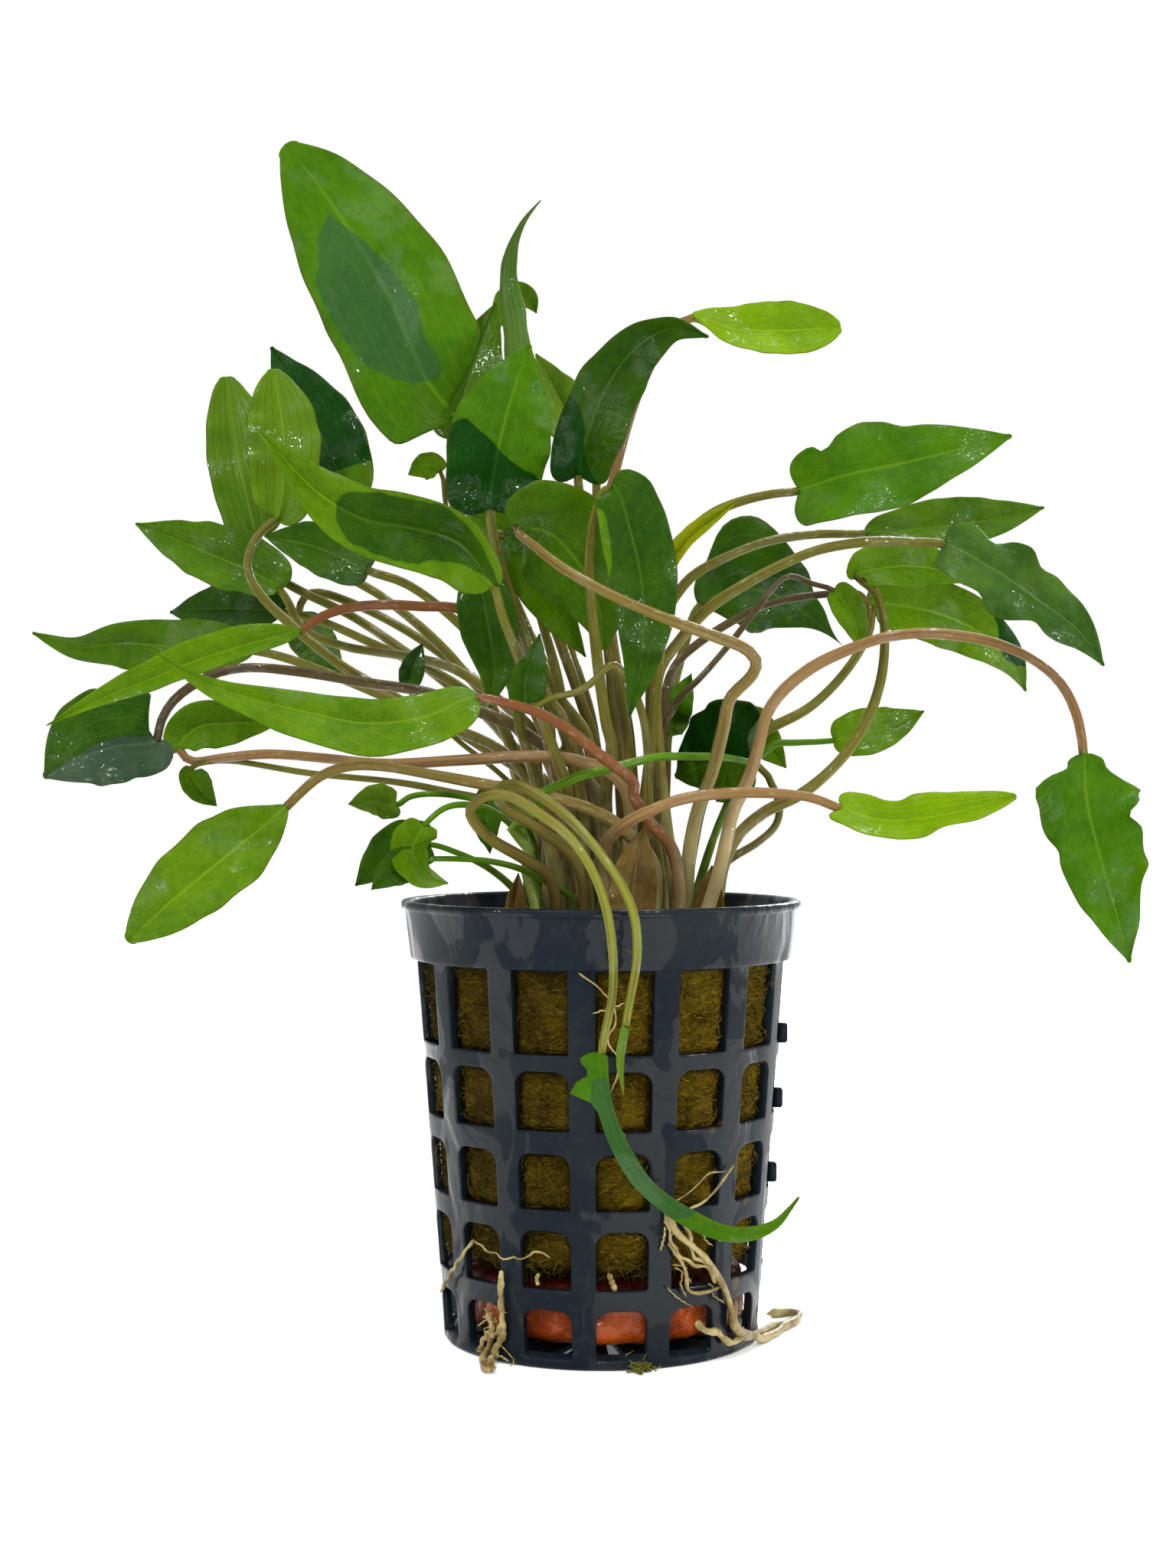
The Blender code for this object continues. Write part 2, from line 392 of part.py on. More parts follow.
def fan_out(rows):
    """Pushes the stalks apart sideways where they stand closest, a short step at a time."""
    places = np.array([real(row["path"][:STALK_KNOTS]) for row in rows]).reshape(-1, 3)
    radii = np.repeat([row["radius"] * 1.1 for row in rows], STALK_KNOTS)
    owner = np.repeat(np.arange(len(rows)), STALK_KNOTS)
    counted = [np.arange(STALK_KNOTS) % (1 if row["stalk"] else SCALE_KNOTS) == 0 for row in rows]
    low = np.nonzero(np.concatenate(counted) & (places[:, 2] < FAN_TOP))[0]
    near = np.linalg.norm(places[low][:, None] - places[low][None], axis=2) < FAN_REACH
    i, j = np.nonzero(np.triu(near & (owner[low][:, None] != owner[low][None])))
    i, j = low[i], low[j]
    loose = np.repeat([0.0 if row["fixed"] else 1.0 for row in rows], STALK_KNOTS)
    hold = (loose * np.clip((places[:, 2] - STALKS_START) / 3, 0, 1)).reshape(len(rows), STALK_KNOTS, 1)
    for _ in range(FANNING_ROUNDS):
        apart = places[i] - places[j]
        short = np.maximum(radii[i] + radii[j] + STALK_GAP - np.linalg.norm(apart, axis=1), 0)
        level = np.maximum(np.linalg.norm(apart[:, :2], axis=1), 0.05)
        push = apart[:, :2] / level[:, None] * short[:, None]
        move = np.zeros((len(places), 2))
        count = np.ones(len(places))
        np.add.at(move, i, push)
        np.add.at(move, j, -push)
        np.add.at(count, i[short > 0], 1)
        np.add.at(count, j[short > 0], 1)
        move = (move / np.sqrt(count)[:, None]).reshape(len(rows), STALK_KNOTS, 2)
        wide = move.copy()
        for step, share in ((1, 0.7), (2, 0.4), (3, 0.2)):
            wide[:, step:] += move[:, :-step] * share
            wide[:, :-step] += move[:, step:] * share
        step = (0.2 * wide * hold).reshape(-1, 2)
        length = np.maximum(np.linalg.norm(step, axis=1), 1e-6)
        places[:, :2] += step * np.minimum(1, FAN_STEP / length)[:, None]
        reach = np.maximum(np.linalg.norm(places[:, :2], axis=1), 0.01)
        inside = (loose > 0) & (places[:, 2] < POT_HEIGHT + 4)
        places[:, :2] *= np.where(inside, np.minimum(1, STALKS_REACH / reach), 1)[:, None]
    for row, moved in zip(rows, places.reshape(len(rows), STALK_KNOTS, 3)):
        row["path"][:STALK_KNOTS] = viewed(moved)


def frames(row):
    """Centre, direction, side and face normal of the leaf at each knot, in real space."""
    centre = real(row["path"])
    along = np.gradient(centre, axis=0)
    along /= np.linalg.norm(along, axis=1)[:, None]
    sight = centre - EYE
    sight /= np.linalg.norm(sight, axis=1)[:, None]
    flat_side = np.cross(along, sight)
    flat_side /= np.linalg.norm(flat_side, axis=1)[:, None]
    toward = np.cross(along, flat_side)
    t = np.concatenate([np.zeros(STALK_KNOTS), np.linspace(0, 1, BLADE_KNOTS)])
    roll = np.radians(row["roll"][0] + (row["roll"][1] - row["roll"][0]) * t)[:, None]
    side = np.cos(roll) * flat_side + np.sin(roll) * toward
    return centre, along, side, np.cross(along, side)


def blade_width(row, t):
    """The blade's half width as a share of its widest, from its base (0) to its tip (1)."""
    start, peak = row["start_width"], row["peak"]
    swell = start + (1 - start) * np.sin(math.pi / 2 * np.clip(t / peak, 0, 1)) ** 0.8
    taper = np.cos(math.pi / 2 * np.clip((t - peak) / (1 - peak), 0, 1)) ** row["tip"]
    return np.where(t < peak, swell, taper)


def blade_points(row, t, across, pose):
    """Points of the blade's middle surface at t along it and across from -1 (right) to 1 (left)."""
    centre, along, side, normal = (take(values, t) for values in pose)
    half = np.where(across > 0, row["half"][0], row["half"][1])
    width = half * blade_width(row, t) / math.cos(math.radians(min(abs(row["roll"][0]), 62)))
    reach = np.abs(across)
    lobe = row["lobe"] if isinstance(row["lobe"], tuple) else (row["lobe"], row["lobe"])
    swept = np.where(across > 0, *lobe) * half * reach**1.6 * np.clip(1 - t / 0.35, 0, 1) ** 1.5
    lift = math.sin(math.radians(row["fold"])) * reach
    ripple = row["wave"] * reach**2 * np.sin(2 * math.pi * row["waves"] * t + 1.5 * across)
    return (centre + side * (across * width * math.cos(math.radians(row["fold"])))[..., None]
            - along * swept[..., None] + normal * (width * (lift + ripple))[..., None])


def take(values, t):
    """Values of the blade's knots at t, from 0 at its base to 1 at its tip."""
    place = STALK_KNOTS - 1 + np.asarray(t) * BLADE_KNOTS
    return np.stack([np.interp(place, np.arange(len(values)), values[:, k]) for k in range(3)], -1)


def samples(row):
    """Points over the leaf as seen, each with its knot and its thickness."""
    pose = frames(row)
    stalk = viewed(pose[0][:STALK_KNOTS])
    t, across = np.meshgrid(np.linspace(0.02, 1, BLADE_KNOTS), ACROSS, indexing="ij")
    blade = viewed(blade_points(row, t, across, pose)).reshape(-1, 3)
    blade_knots = np.repeat(np.arange(BLADE_KNOTS), len(ACROSS)) + STALK_KNOTS
    knots = np.concatenate([np.arange(STALK_KNOTS), blade_knots])
    radii = np.concatenate([np.full(STALK_KNOTS, row["radius"]), np.full(len(blade), 0.0)])
    return np.vstack([stalk, blade]), knots, radii


def close_pairs(first, second):
    """Pairs of sample points that cover each other in the front view, the gap in depth they need, and which
    of the two lies in front. Which lies in front is settled for one stretch of the first leaf at a time."""
    (a, knots_a, radii_a), (b, knots_b, radii_b) = first, second
    spacing = np.linalg.norm(a[:, None, :2] - b[None, :, :2], axis=2)
    a_stalk, b_stalk = radii_a[:, None] > 0, radii_b[None] > 0
    both = a_stalk & b_stalk
    reach = np.where(both, radii_a[:, None] + radii_b[None] + STALK_GAP,
                     radii_a[:, None] + radii_b[None] + BLADE_GAP)
    need = np.where(both, np.sqrt(np.maximum(reach**2 - spacing**2, 0)), reach)
    i, j = np.nonzero(spacing < reach)
    stretch = (knots_a[i] // ORDER_KNOTS * 4 + (radii_a[i] > 0) * 2 + (radii_b[j] > 0)).astype(int)
    total = np.zeros(4 * (STALK_KNOTS + BLADE_KNOTS))
    np.add.at(total, stretch, b[j, 2] - a[i, 2])
    return i, j, need[i, j], np.where(total[stretch] >= 0, 1.0, -1.0)


def settle(rows):
    """Moves the leaves apart along the line of sight only, smoothly, until none touches another."""
    sets = [samples(row) for row in rows]
    knots = STALK_KNOTS + BLADE_KNOTS
    starts = np.cumsum([0] + [len(s[0]) for s in sets])
    first, second, need, order = [], [], [], []
    for m in range(len(rows)):
        for n in range(m + 1, len(rows)):
            i, j, gap, sign = close_pairs(sets[m], sets[n])
            first.append(i + starts[m])
            second.append(j + starts[n])
            need.append(gap)
            order.append(sign)
    first, second = np.concatenate(first), np.concatenate(second)
    need, order = np.concatenate(need), np.concatenate(order)
    depth = np.concatenate([s[0][:, 2] for s in sets])
    owner = np.concatenate([s[1] + m * knots for m, s in enumerate(sets)])
    free = np.array([0.0 if row["fixed"] else 1.0 for row in rows])[:, None]
    above_rim = np.array([real(row["path"])[:, 2] - POT_HEIGHT + 1 for row in rows])
    hold = free * np.clip(np.maximum.accumulate(above_rim, axis=1) / FREE_ABOVE_RIM, 0, 1)
    held = hold.ravel()[owner]
    shift = np.zeros((len(rows), knots))
    for _ in range(SETTLING_ROUNDS):
        now = depth + shift.ravel()[owner]
        short = np.maximum(need - order * (now[second] - now[first]), 0)
        push = {1: np.zeros(len(rows) * knots), -1: np.zeros(len(rows) * knots)}
        for way in (1, -1):
            mask = order == way
            np.maximum.at(push[way], owner[second[mask]], short[mask] * held[second[mask]])
            np.maximum.at(push[-way], owner[first[mask]], short[mask] * held[first[mask]])
        move = np.zeros_like(shift)
        for way in (1, -1):
            raw = push[way].reshape(len(rows), knots)
            wide = raw.copy()
            for step in range(1, 7):
                fall = 1 - step / 7
                wide[:, step:] = np.maximum(wide[:, step:], raw[:, :-step] * fall)
                wide[:, :-step] = np.maximum(wide[:, :-step], raw[:, step:] * fall)
            move += way * wide
        shift += 0.3 * move * hold
    for row, moved in zip(rows, shift):
        row["path"][:, 2] += moved


def place_leaves():
    """Every leaf and sheath, with its path and its place in depth settled."""
    rows = LEAVES + SHEATHS
    spread_slots(rows)
    for row in rows:
        lay_path(row)
    fan_out(rows)
    settle(rows)
    fan_out(rows)
    return rows


def material(name, colour, roughness, metallic=0.0):
    made = bpy.data.materials.new(name)
    made.use_nodes = True
    shader = made.node_tree.nodes["Principled BSDF"]
    shader.inputs["Base Color"].default_value = (*colour, 1)
    shader.inputs["Roughness"].default_value = roughness
    shader.inputs["Metallic"].default_value = metallic
    return made


def add_object(name, data, made_of, group):
    thing = bpy.data.objects.new(name, data)
    if not data.materials:
        data.materials.append(made_of)
    group.objects.link(thing)
    return thing


def mesh_of(name, points_mm, faces):
    mesh = bpy.data.meshes.new(name)
    mesh.from_pydata([tuple(p) for p in np.asarray(points_mm) * MM], [], faces)
    mesh.shade_smooth()
    return mesh


def leaf_rings(row):
    """Rings of four points, left edge, face, right edge and back, from the stalk's foot to near the tip."""
    centre, along, side, normal = pose = frames(row)
    rings = []
    count = 3 + int(stalk_length(row) / 13)
    for u in np.linspace(0, 1, count + 1)[:-1]:
        k = int(round(u * (STALK_KNOTS - 1)))
        radius = row["radius"] * (1.08 - 0.28 * u)
        rings.append([centre[k] + side[k] * radius, centre[k] + normal[k] * radius,
                      centre[k] - side[k] * radius, centre[k] - normal[k] * radius])
    for t in BLADE_ROWS:
        edges = blade_points(row, np.array([t, t]), np.array([1.0, -1.0]), pose)
        middle = blade_points(row, np.array([t]), np.array([0.0]), pose)[0]
        up = take(normal, np.array([t]))[0]
        thick = BLADE_THICKNESS / 2 + (row["radius"] * 0.8 - BLADE_THICKNESS / 2) * max(0, 1 - t / 0.25)
        rings.append([edges[0], middle + up * thick, edges[1], middle - up * thick])
    tip = blade_points(row, np.array([1.0]), np.array([0.0]), pose)[0]
    return np.array(rings), tip


def side_panel(near, far, edge, face, turned_over):
    """Two triangles between a ring's edge point and its face point, and the same points of the next ring.

    The face and the back are split along the same diagonal, so that they never cross at the thin margin."""
    panel = [(near + edge, near + face, far + edge), (near + face, far + face, far + edge)]
    return [tuple(reversed(points)) for points in panel] if turned_over else panel


def leaf_mesh(row):
    """One closed loft from the stalk's foot to the blade's tip."""
    rings, tip = leaf_rings(row)
    points = [p for ring in rings for p in ring] + [tip]
    faces = [(3, 2, 1, 0)]
    for k in range(len(rings) - 1):
        near, far = 4 * k, 4 * (k + 1)
        for edge in (0, 2):
            for face in (1, 3):
                faces += side_panel(near, far, edge, face, turned_over=(edge == 0) == (face == 3))
    last = 4 * (len(rings) - 1)
    for i in range(4):
        faces.append((last + i, last + (i + 1) % 4, len(points) - 1))
    return mesh_of(row["name"], points, faces)


def add_leaves(group):
    for row in place_leaves():
        green = material(row["name"], TONES[row["tone"]], 0.35)
        add_object(row["name"], leaf_mesh(row), green, group)


def turned(name, profile_mm, segments, made_of, group, flutes=0, flute_mm=0.0):
    """A solid of revolution from a closed profile of (radius, height) pairs, with optional lumps."""
    points, faces = [], []
    count = len(profile_mm)
    for k in range(segments):
        angle = 2 * math.pi * k / segments
        lump = 1 + flute_mm * math.sin(flutes * angle) if flutes else 1
        for radius, height in profile_mm:
            reach = radius * lump
            points.append((reach * math.sin(angle), -reach * math.cos(angle), height))
    for k in range(segments):
        here, there = k * count, (k + 1) % segments * count
        for i in range(count):
            faces.append((here + i, there + i, there + (i + 1) % count, here + (i + 1) % count))
    mesh = mesh_of(name, points, faces)
    mesh.set_sharp_from_angle(angle=math.radians(40))
    shape = bmesh.new()
    shape.from_mesh(mesh)
    bmesh.ops.recalc_face_normals(shape, faces=shape.faces)
    shape.to_mesh(mesh)
    shape.free()
    return add_object(name, mesh, made_of, group)


def pot_radius(height):
    """The basket's outer radius below its band."""
    return FOOT_RADIUS + (BODY_TOP_RADIUS - FOOT_RADIUS) * min(max(height / BAND_LOW, 0), 1)


def add_pot(group):
    """A turned skin with its windows left out, thickened inwards."""
    levels = sorted({edge for row in WINDOW_ROWS for edge in row})
    profile = [(FLOOR_HUB_RADIUS, 0.0), (FLOOR_SLOT_RADIUS, 0.0), (FOOT_RADIUS - 0.9, 0.0)]
    profile += [(pot_radius(z), z) for z in levels]
    profile += [(BAND_LOW_RADIUS, BAND_LOW + 0.5), (BAND_TOP_RADIUS, POT_HEIGHT - LIP_HEIGHT),
                (LIP_RADIUS, POT_HEIGHT - LIP_HEIGHT + 0.1), (LIP_RADIUS - 0.1, POT_HEIGHT)]
    columns = 2 * WINDOW_COLUMNS
    pitch = 2 * math.pi / WINDOW_COLUMNS
    skin = bmesh.new()
    rings = []
    for k in range(columns):
        start = (k // 2) * pitch - pitch * WINDOW_SHARE / 2 + math.radians(WINDOW_TURN_DEG)
        angle = start + (k % 2) * pitch * WINDOW_SHARE
        rings.append([skin.verts.new((r * MM * math.sin(angle), -r * MM * math.cos(angle), z * MM))
                      for r, z in profile])
    open_levels = {profile.index((pot_radius(low), low)) for low, high in WINDOW_ROWS}
    slot_level = 0
    for k in range(columns):
        for i in range(len(profile) - 1):
            window_column = k % 2 == 0
            if window_column and (i in open_levels or i == slot_level):
                continue
            a, b = rings[k], rings[(k + 1) % columns]
            skin.faces.new((a[i], b[i], b[i + 1], a[i + 1]))
    skin.faces.new([rings[k][0] for k in reversed(range(columns))])
    bmesh.ops.recalc_face_normals(skin, faces=skin.faces)
    mesh = bpy.data.meshes.new("pot")
    skin.to_mesh(mesh)
    skin.free()
    mesh.shade_smooth()
    mesh.set_sharp_from_angle(angle=math.radians(35))
    pot = add_object("pot", mesh, material("pot", (0.035, 0.05, 0.07), 0.35), group)
    wall = pot.modifiers.new("wall", "SOLIDIFY")
    wall.thickness = WALL * MM
    wall.offset = -1
    wall.use_even_offset = True
    return pot


def add_filling(group):
    """The wool plug with its pocket, the clay ring and the crown."""
    inside = WALL + GAP + 0.5
    wool = [(WOOL_POCKET_RADIUS, WOOL_TOP), (pot_radius(WOOL_TOP) - inside, WOOL_TOP - 0.8),
            (pot_radius(30) - inside, 30), (pot_radius(WOOL_LOW) - inside, WOOL_LOW + 2),
            (pot_radius(WOOL_LOW) - inside - 3, WOOL_LOW), (0.01, WOOL_LOW + 0.3),
            (0.01, WOOL_POCKET_FLOOR), (WOOL_POCKET_RADIUS - 1, WOOL_POCKET_FLOOR)]
    capped_turn("rockwool", wool, 24, material("rockwool", (0.13, 0.10, 0.02), 0.95), group)
    height = WEIGHT_TOP - WEIGHT_LOW
    clay = []
    for k in range(6):
        angle = math.pi * (k / 5 - 0.5)
        clay.append((WEIGHT_RADIUS - 3 + 3 * math.cos(angle),
                     WEIGHT_LOW + height * (0.5 + math.sin(angle) / 2)))
    clay += [(WEIGHT_HOLE_RADIUS, WEIGHT_TOP - 0.6), (WEIGHT_HOLE_RADIUS, WEIGHT_LOW + 0.6)]
    turned("clay_weight", clay, 20, material("clay_weight", (0.36, 0.10, 0.02), 0.5), group, 9, 0.012)
    crown = [(0.01, WOOL_POCKET_FLOOR + GAP), (CROWN_RADIUS - 2, WOOL_POCKET_FLOOR + GAP),
             (CROWN_RADIUS, CROWN_TOP - 1.2), (CROWN_RADIUS - 0.8, CROWN_TOP), (0.01, CROWN_TOP + 0.2)]
    capped_turn("crown", crown, 18, material("crown", (0.2, 0.17, 0.06), 0.7), group)


def capped_turn(name, profile_mm, segments, made_of, group):
    """A solid of revolution whose profile starts and ends on the axis."""
    thing = turned(name, profile_mm, segments, made_of, group)
    shape = bmesh.new()
    shape.from_mesh(thing.data)
    bmesh.ops.remove_doubles(shape, verts=shape.verts, dist=0.05 * MM)
    bmesh.ops.dissolve_degenerate(shape, edges=shape.edges, dist=0.01 * MM)
    bmesh.ops.recalc_face_normals(shape, faces=shape.faces)
    shape.to_mesh(thing.data)
    shape.free()
    return thing


def on_pot(across, up, clear):
    """The point seen at across and up that lies clear of the basket's wall."""
    deep = -20.0
    for _ in range(30):
        x, y, z = real([across, up, deep])
        reach = pot_radius(z) + clear
        deep = -math.sqrt(max(reach**2 - x**2, 1.0))
    return real([across, up, deep])


def on_floor(across, up, height):
    """The point seen at across and up that lies at a height above the floor."""
    deep = ((height - EYE[2]) / (up - EYE[2]) - 1) * -EYE[1]
    return real([across, up, deep])


def add_root(name, places, radius_mm, group):
    """A root as a thin tube, closed at its ends."""
    curve = bpy.data.curves.new(name, "CURVE")
    curve.dimensions = "3D"
    curve.bevel_depth = radius_mm * MM
    curve.bevel_resolution = 0
    curve.use_fill_caps = True
    smooth = evenly(smooth_through(places), 2 + int(len(places) * 1.6))
    spline = curve.splines.new("POLY")
    spline.points.add(len(smooth) - 1)
    for point, place in zip(spline.points, smooth):
        point.co = (*(place * MM), 1)
    add_object(name, curve, material(name, (0.62, 0.52, 0.33), 0.5), group)


def add_roots(group):
    clear = 1.0
    down = ((10, 15.9), (12.5, 12.5), (15.3, 8.4), (17.7, 4.4), (19.6, 1.4))
    right = [on_pot(x, z, clear) for x, z in down]
    right += [on_floor(x, z, 0.6) for x, z in ((21.8, 0.1), (24, 0.9), (25.9, 1.9))]
    add_root("root_right", right, 0.42, group)
    down = ((-13, 8.1), (-13.1, 5.5), (-13, 2.8), (-12.8, 0.2), (-13.6, -2.2))
    left = [on_pot(x, z, clear) for x, z in down]
    left += [on_floor(-15.2, -4.6, 0.6)]
    add_root("root_left", left, 0.42, group)
    hanging = [on_pot(x, z, clear) for x, z in ((-16.7, 12.2), (-18.4, 9.6), (-20.2, 7.2), (-21, 5.3))]
    add_root("root_left_thin", hanging, 0.3, group)


def main():
    for old in list(bpy.data.objects):
        bpy.data.objects.remove(old)
    group = bpy.data.collections.new("potted_cryptocoryne")
    bpy.context.scene.collection.children.link(group)
    add_pot(group)
    add_filling(group)
    add_leaves(group)
    add_roots(group)


main()
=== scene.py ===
"""The looks of a potted cryptocoryne: fine leaves, stalks, net pot, fibre plug, clay ring and roots.

Every leaf follows the same midline as its plain solid in the frame. A leaf's points are written as the front
view shows them, in millimetres across and up on the upright plane through the pot's axis, with a depth behind
that plane. The function real() moves such a point along the line of sight to its depth.
"""
import json
import math
import random

import bmesh
import bpy
import numpy as np
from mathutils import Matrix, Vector, noise


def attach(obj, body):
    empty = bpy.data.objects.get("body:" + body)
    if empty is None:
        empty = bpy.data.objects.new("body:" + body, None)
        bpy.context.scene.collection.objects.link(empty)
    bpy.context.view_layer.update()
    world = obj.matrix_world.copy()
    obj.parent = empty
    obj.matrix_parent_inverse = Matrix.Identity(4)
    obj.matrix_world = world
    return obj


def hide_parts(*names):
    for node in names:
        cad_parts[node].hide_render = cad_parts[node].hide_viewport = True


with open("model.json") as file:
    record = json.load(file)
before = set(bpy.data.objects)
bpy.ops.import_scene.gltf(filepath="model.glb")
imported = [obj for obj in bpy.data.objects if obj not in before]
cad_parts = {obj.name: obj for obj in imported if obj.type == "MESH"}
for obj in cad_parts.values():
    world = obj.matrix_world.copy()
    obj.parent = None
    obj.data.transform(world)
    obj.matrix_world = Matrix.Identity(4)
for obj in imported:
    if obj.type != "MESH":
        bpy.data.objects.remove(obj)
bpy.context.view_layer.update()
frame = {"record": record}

MM = 0.001
GAP = 0.3

# The eye of the front view, in millimetres.
EYE = np.array([-1.7, -300.0, 71.6])

# The pot, in millimetres.
POT_HEIGHT = 56.6
LIP_RADIUS = 26.0
BAND_LOW_RADIUS = 24.8
BAND_LOW = 48.9
BODY_TOP_RADIUS = 24.0
FOOT_RADIUS = 20.4
WALL = 1.1
WINDOW_COLUMNS = 14
WINDOW_SHARE = 0.68
WINDOW_TURN_DEG = 6.75
WINDOW_ROWS = ((1.2, 7.35), (9.9, 17.1), (19.7, 26.6), (29.4, 36.7), (38.7, 48.9))
FLOOR_HUB_RADIUS = 7.0
FLOOR_SLOT_RADIUS = 17.0
WINDOW_TOP_CORNER = 1.8
WINDOW_LOW_CORNER = 0.3

# What stands in the pot.
WOOL_LOW = 11.0
WOOL_TOP = 46.4
WOOL_POCKET_FLOOR = 40.0
WEIGHT_LOW = 1.9
WEIGHT_TOP = 10.4
WEIGHT_RADIUS = 18.8
WEIGHT_HOLE_RADIUS = 5.5
CROWN_RADIUS = 12.9
CROWN_TOP = 45.3
STALKS_START = 46.4
STALKS_DISC = 11.6
STALKS_REACH = 19.0
WOOL_SIDE_TOP = 49.2
WOOL_EDGE = WOOL_LOW + 0.9
WOOL_INSET = 1.25
WOOL_SWELL = 1.05
WOOL_FIBRES = 5200
WOOL_EDGE_FIBRES = 900
CLAY_SQUARENESS = 4.4
OLD_STALKS = 70
CROWN_ROOTS = 160
MOSS_STRANDS = 110

# Distances along the pot's wall, in millimetres up from its foot, and below 0 across its floor.
FLOOR_MIDDLE = -21.0
HUB_EDGE = -14.8
SLOT_EDGE = -3.2

# Three stubs of plastic at the pot's right edge, as degrees from its front and height.
POT_TABS = ((84, 39.4), (88, 30.8), (90, 21.0))

# How a leaf's midline is laid.
STALK_RADIUS = 0.95
STALK_KNOTS = 60
BLADE_KNOTS = 20
ACROSS = (-1.0, -0.67, -0.33, 0.0, 0.33, 0.67, 1.0)
BLADE_GAP = 1.45
STALK_GAP = 0.85
SLOT_ROUNDS = 400
SETTLING_ROUNDS = 260
ORDER_KNOTS = 12
FREE_ABOVE_RIM = 12.0
FANNING_ROUNDS = 250
FAN_TOP = 80.0
FAN_REACH = 5.0
FAN_STEP = 0.15
SCALE_KNOTS = 10

# How finely a leaf is made. A ring runs across the face, from its left edge, and back along the underside.
HALF_ACROSS = (1.0, 0.972, 0.88, 0.76, 0.63, 0.5, 0.38, 0.27, 0.17, 0.08)
FACE_ACROSS = HALF_ACROSS + (0.0,) + tuple(-a for a in reversed(HALF_ACROSS))
STALK_RINGS = 64
STALK_FOOT_SHARE = 1.04
STALK_TAPER = 0.44
STALK_UNEVENNESS = 0.035
BASE_RINGS = (0.12, 0.3, 0.52, 0.76)
BASE_ROWS = 9
BLADE_ROWS = 46
BLADE_HALF_THICKNESS = 0.15
NECK_SHARE = 0.6
RIB_LENGTH = 0.16
MIDRIB_GROOVE = 0.12
LONG_WAVE = 0.05
SHORT_WAVE = 0.025
EDGE_WAVE = 0.012
FINER = 6
CALM_KNOTS = 6
TIP_ROUND = 0.975
BASE_ROUND = 0.09

# A surface in this light looks brighter than its own colour, so the colours below are darkened by this much.
LIGHT_SHARE = 0.585

# Colours as they look on a screen, from 0 to 255.
BLADE_COLOURS = {
    "bright": dict(face=(92, 134, 0), shade=(72, 114, 0), vein=(130, 166, 30), under=(108, 142, 24)),
    "mid": dict(face=(74, 114, 0), shade=(54, 96, 0), vein=(106, 144, 22), under=(92, 126, 20)),
    # dark: as the patch of the left tilted leaf it is painted shade in the hollow of its fold.
    "dark": dict(face=(52, 92, 2), shade=(34, 74, 4), vein=(80, 120, 24), under=(74, 108, 22)),
    "fresh": dict(face=(74, 122, 0), shade=(56, 106, 0), vein=(108, 150, 24), under=(92, 132, 20)),
    "lime": dict(face=(126, 164, 0), shade=(104, 146, 0), vein=(154, 188, 30), under=(128, 160, 24)),
    # wet: a dark bluish green with a wet look; as the top sail's patch it is painted shadow of the leaf
    # behind.
    "wet": dict(face=(60, 104, 44), shade=(50, 94, 38), vein=(78, 120, 52), under=(70, 108, 44)),
    # deep: the darkest green; as the patches on the bib and the right crossing leaf it is painted shadow.
    "deep": dict(face=(16, 70, 4), shade=(8, 58, 0), vein=(40, 92, 14), under=(44, 84, 16)),
    "pale": dict(face=(98, 134, 20), shade=(84, 120, 14), vein=(128, 158, 50), under=(96, 132, 22)),
    "yellow": dict(face=(158, 166, 6), shade=(126, 144, 4), vein=(182, 186, 40), under=(156, 162, 24)),
    "papery": dict(face=(140, 114, 54), shade=(108, 80, 32), vein=(162, 138, 78), under=(126, 98, 48)),
    "bluish": dict(face=(76, 114, 34), shade=(48, 88, 28), vein=(104, 140, 58), under=(92, 126, 50)),
    "grey": dict(face=(66, 88, 62), shade=(48, 74, 50), vein=(88, 108, 82), under=(76, 96, 72)),
}
STALK_COLOURS = {
    "olive": dict(foot=(172, 164, 104), low=(118, 108, 46), high=(102, 102, 32), streak=(78, 68, 28)),
    "tan": dict(foot=(176, 168, 114), low=(130, 112, 60), high=(118, 102, 48), streak=(90, 72, 38)),
    "pink": dict(foot=(180, 166, 116), low=(144, 116, 74), high=(134, 104, 62), streak=(104, 72, 46)),
    "red": dict(foot=(176, 160, 110), low=(124, 84, 48), high=(116, 72, 38), streak=(88, 50, 28)),
    "green": dict(foot=(160, 170, 88), low=(98, 130, 28), high=(78, 122, 10), streak=(58, 90, 8)),
    "brown": dict(foot=(160, 150, 104), low=(98, 84, 48), high=(78, 66, 38), streak=(54, 44, 30)),
    "loop": dict(foot=(104, 88, 46), low=(112, 102, 42), high=(128, 134, 46), streak=(84, 74, 32)),
}
MARGIN_COLOUR = (92, 84, 30)
OTHER_COLOURS = {
    "pot_plastic": dict(shade=(12, 22, 31), face=(24, 31, 35), speck=(44, 54, 58), film=(10, 17, 24),
                        grime=(74, 62, 28)),
    "wool": dict(face=(112, 90, 4), shade=(64, 48, 0), light=(148, 124, 28)),
    "fibres": dict(face=(134, 110, 14), shade=(80, 62, 2), light=(180, 154, 56)),
    # The clay's top and foot colours are painted shade: the dark gap under the plug and the dark under the
    # ring.
    "clay": dict(shade=(120, 44, 2), face=(184, 78, 12), grit=(206, 120, 52), top=(84, 22, 10),
                 foot=(60, 24, 10)),
    "crown": dict(shade=(96, 76, 38), face=(168, 156, 104), light=(206, 198, 156)),
    "root": dict(shade=(128, 104, 42), face=(196, 178, 112), speck=(126, 92, 44)),
    "moss": dict(shade=(58, 64, 10), face=(104, 104, 22)),
}


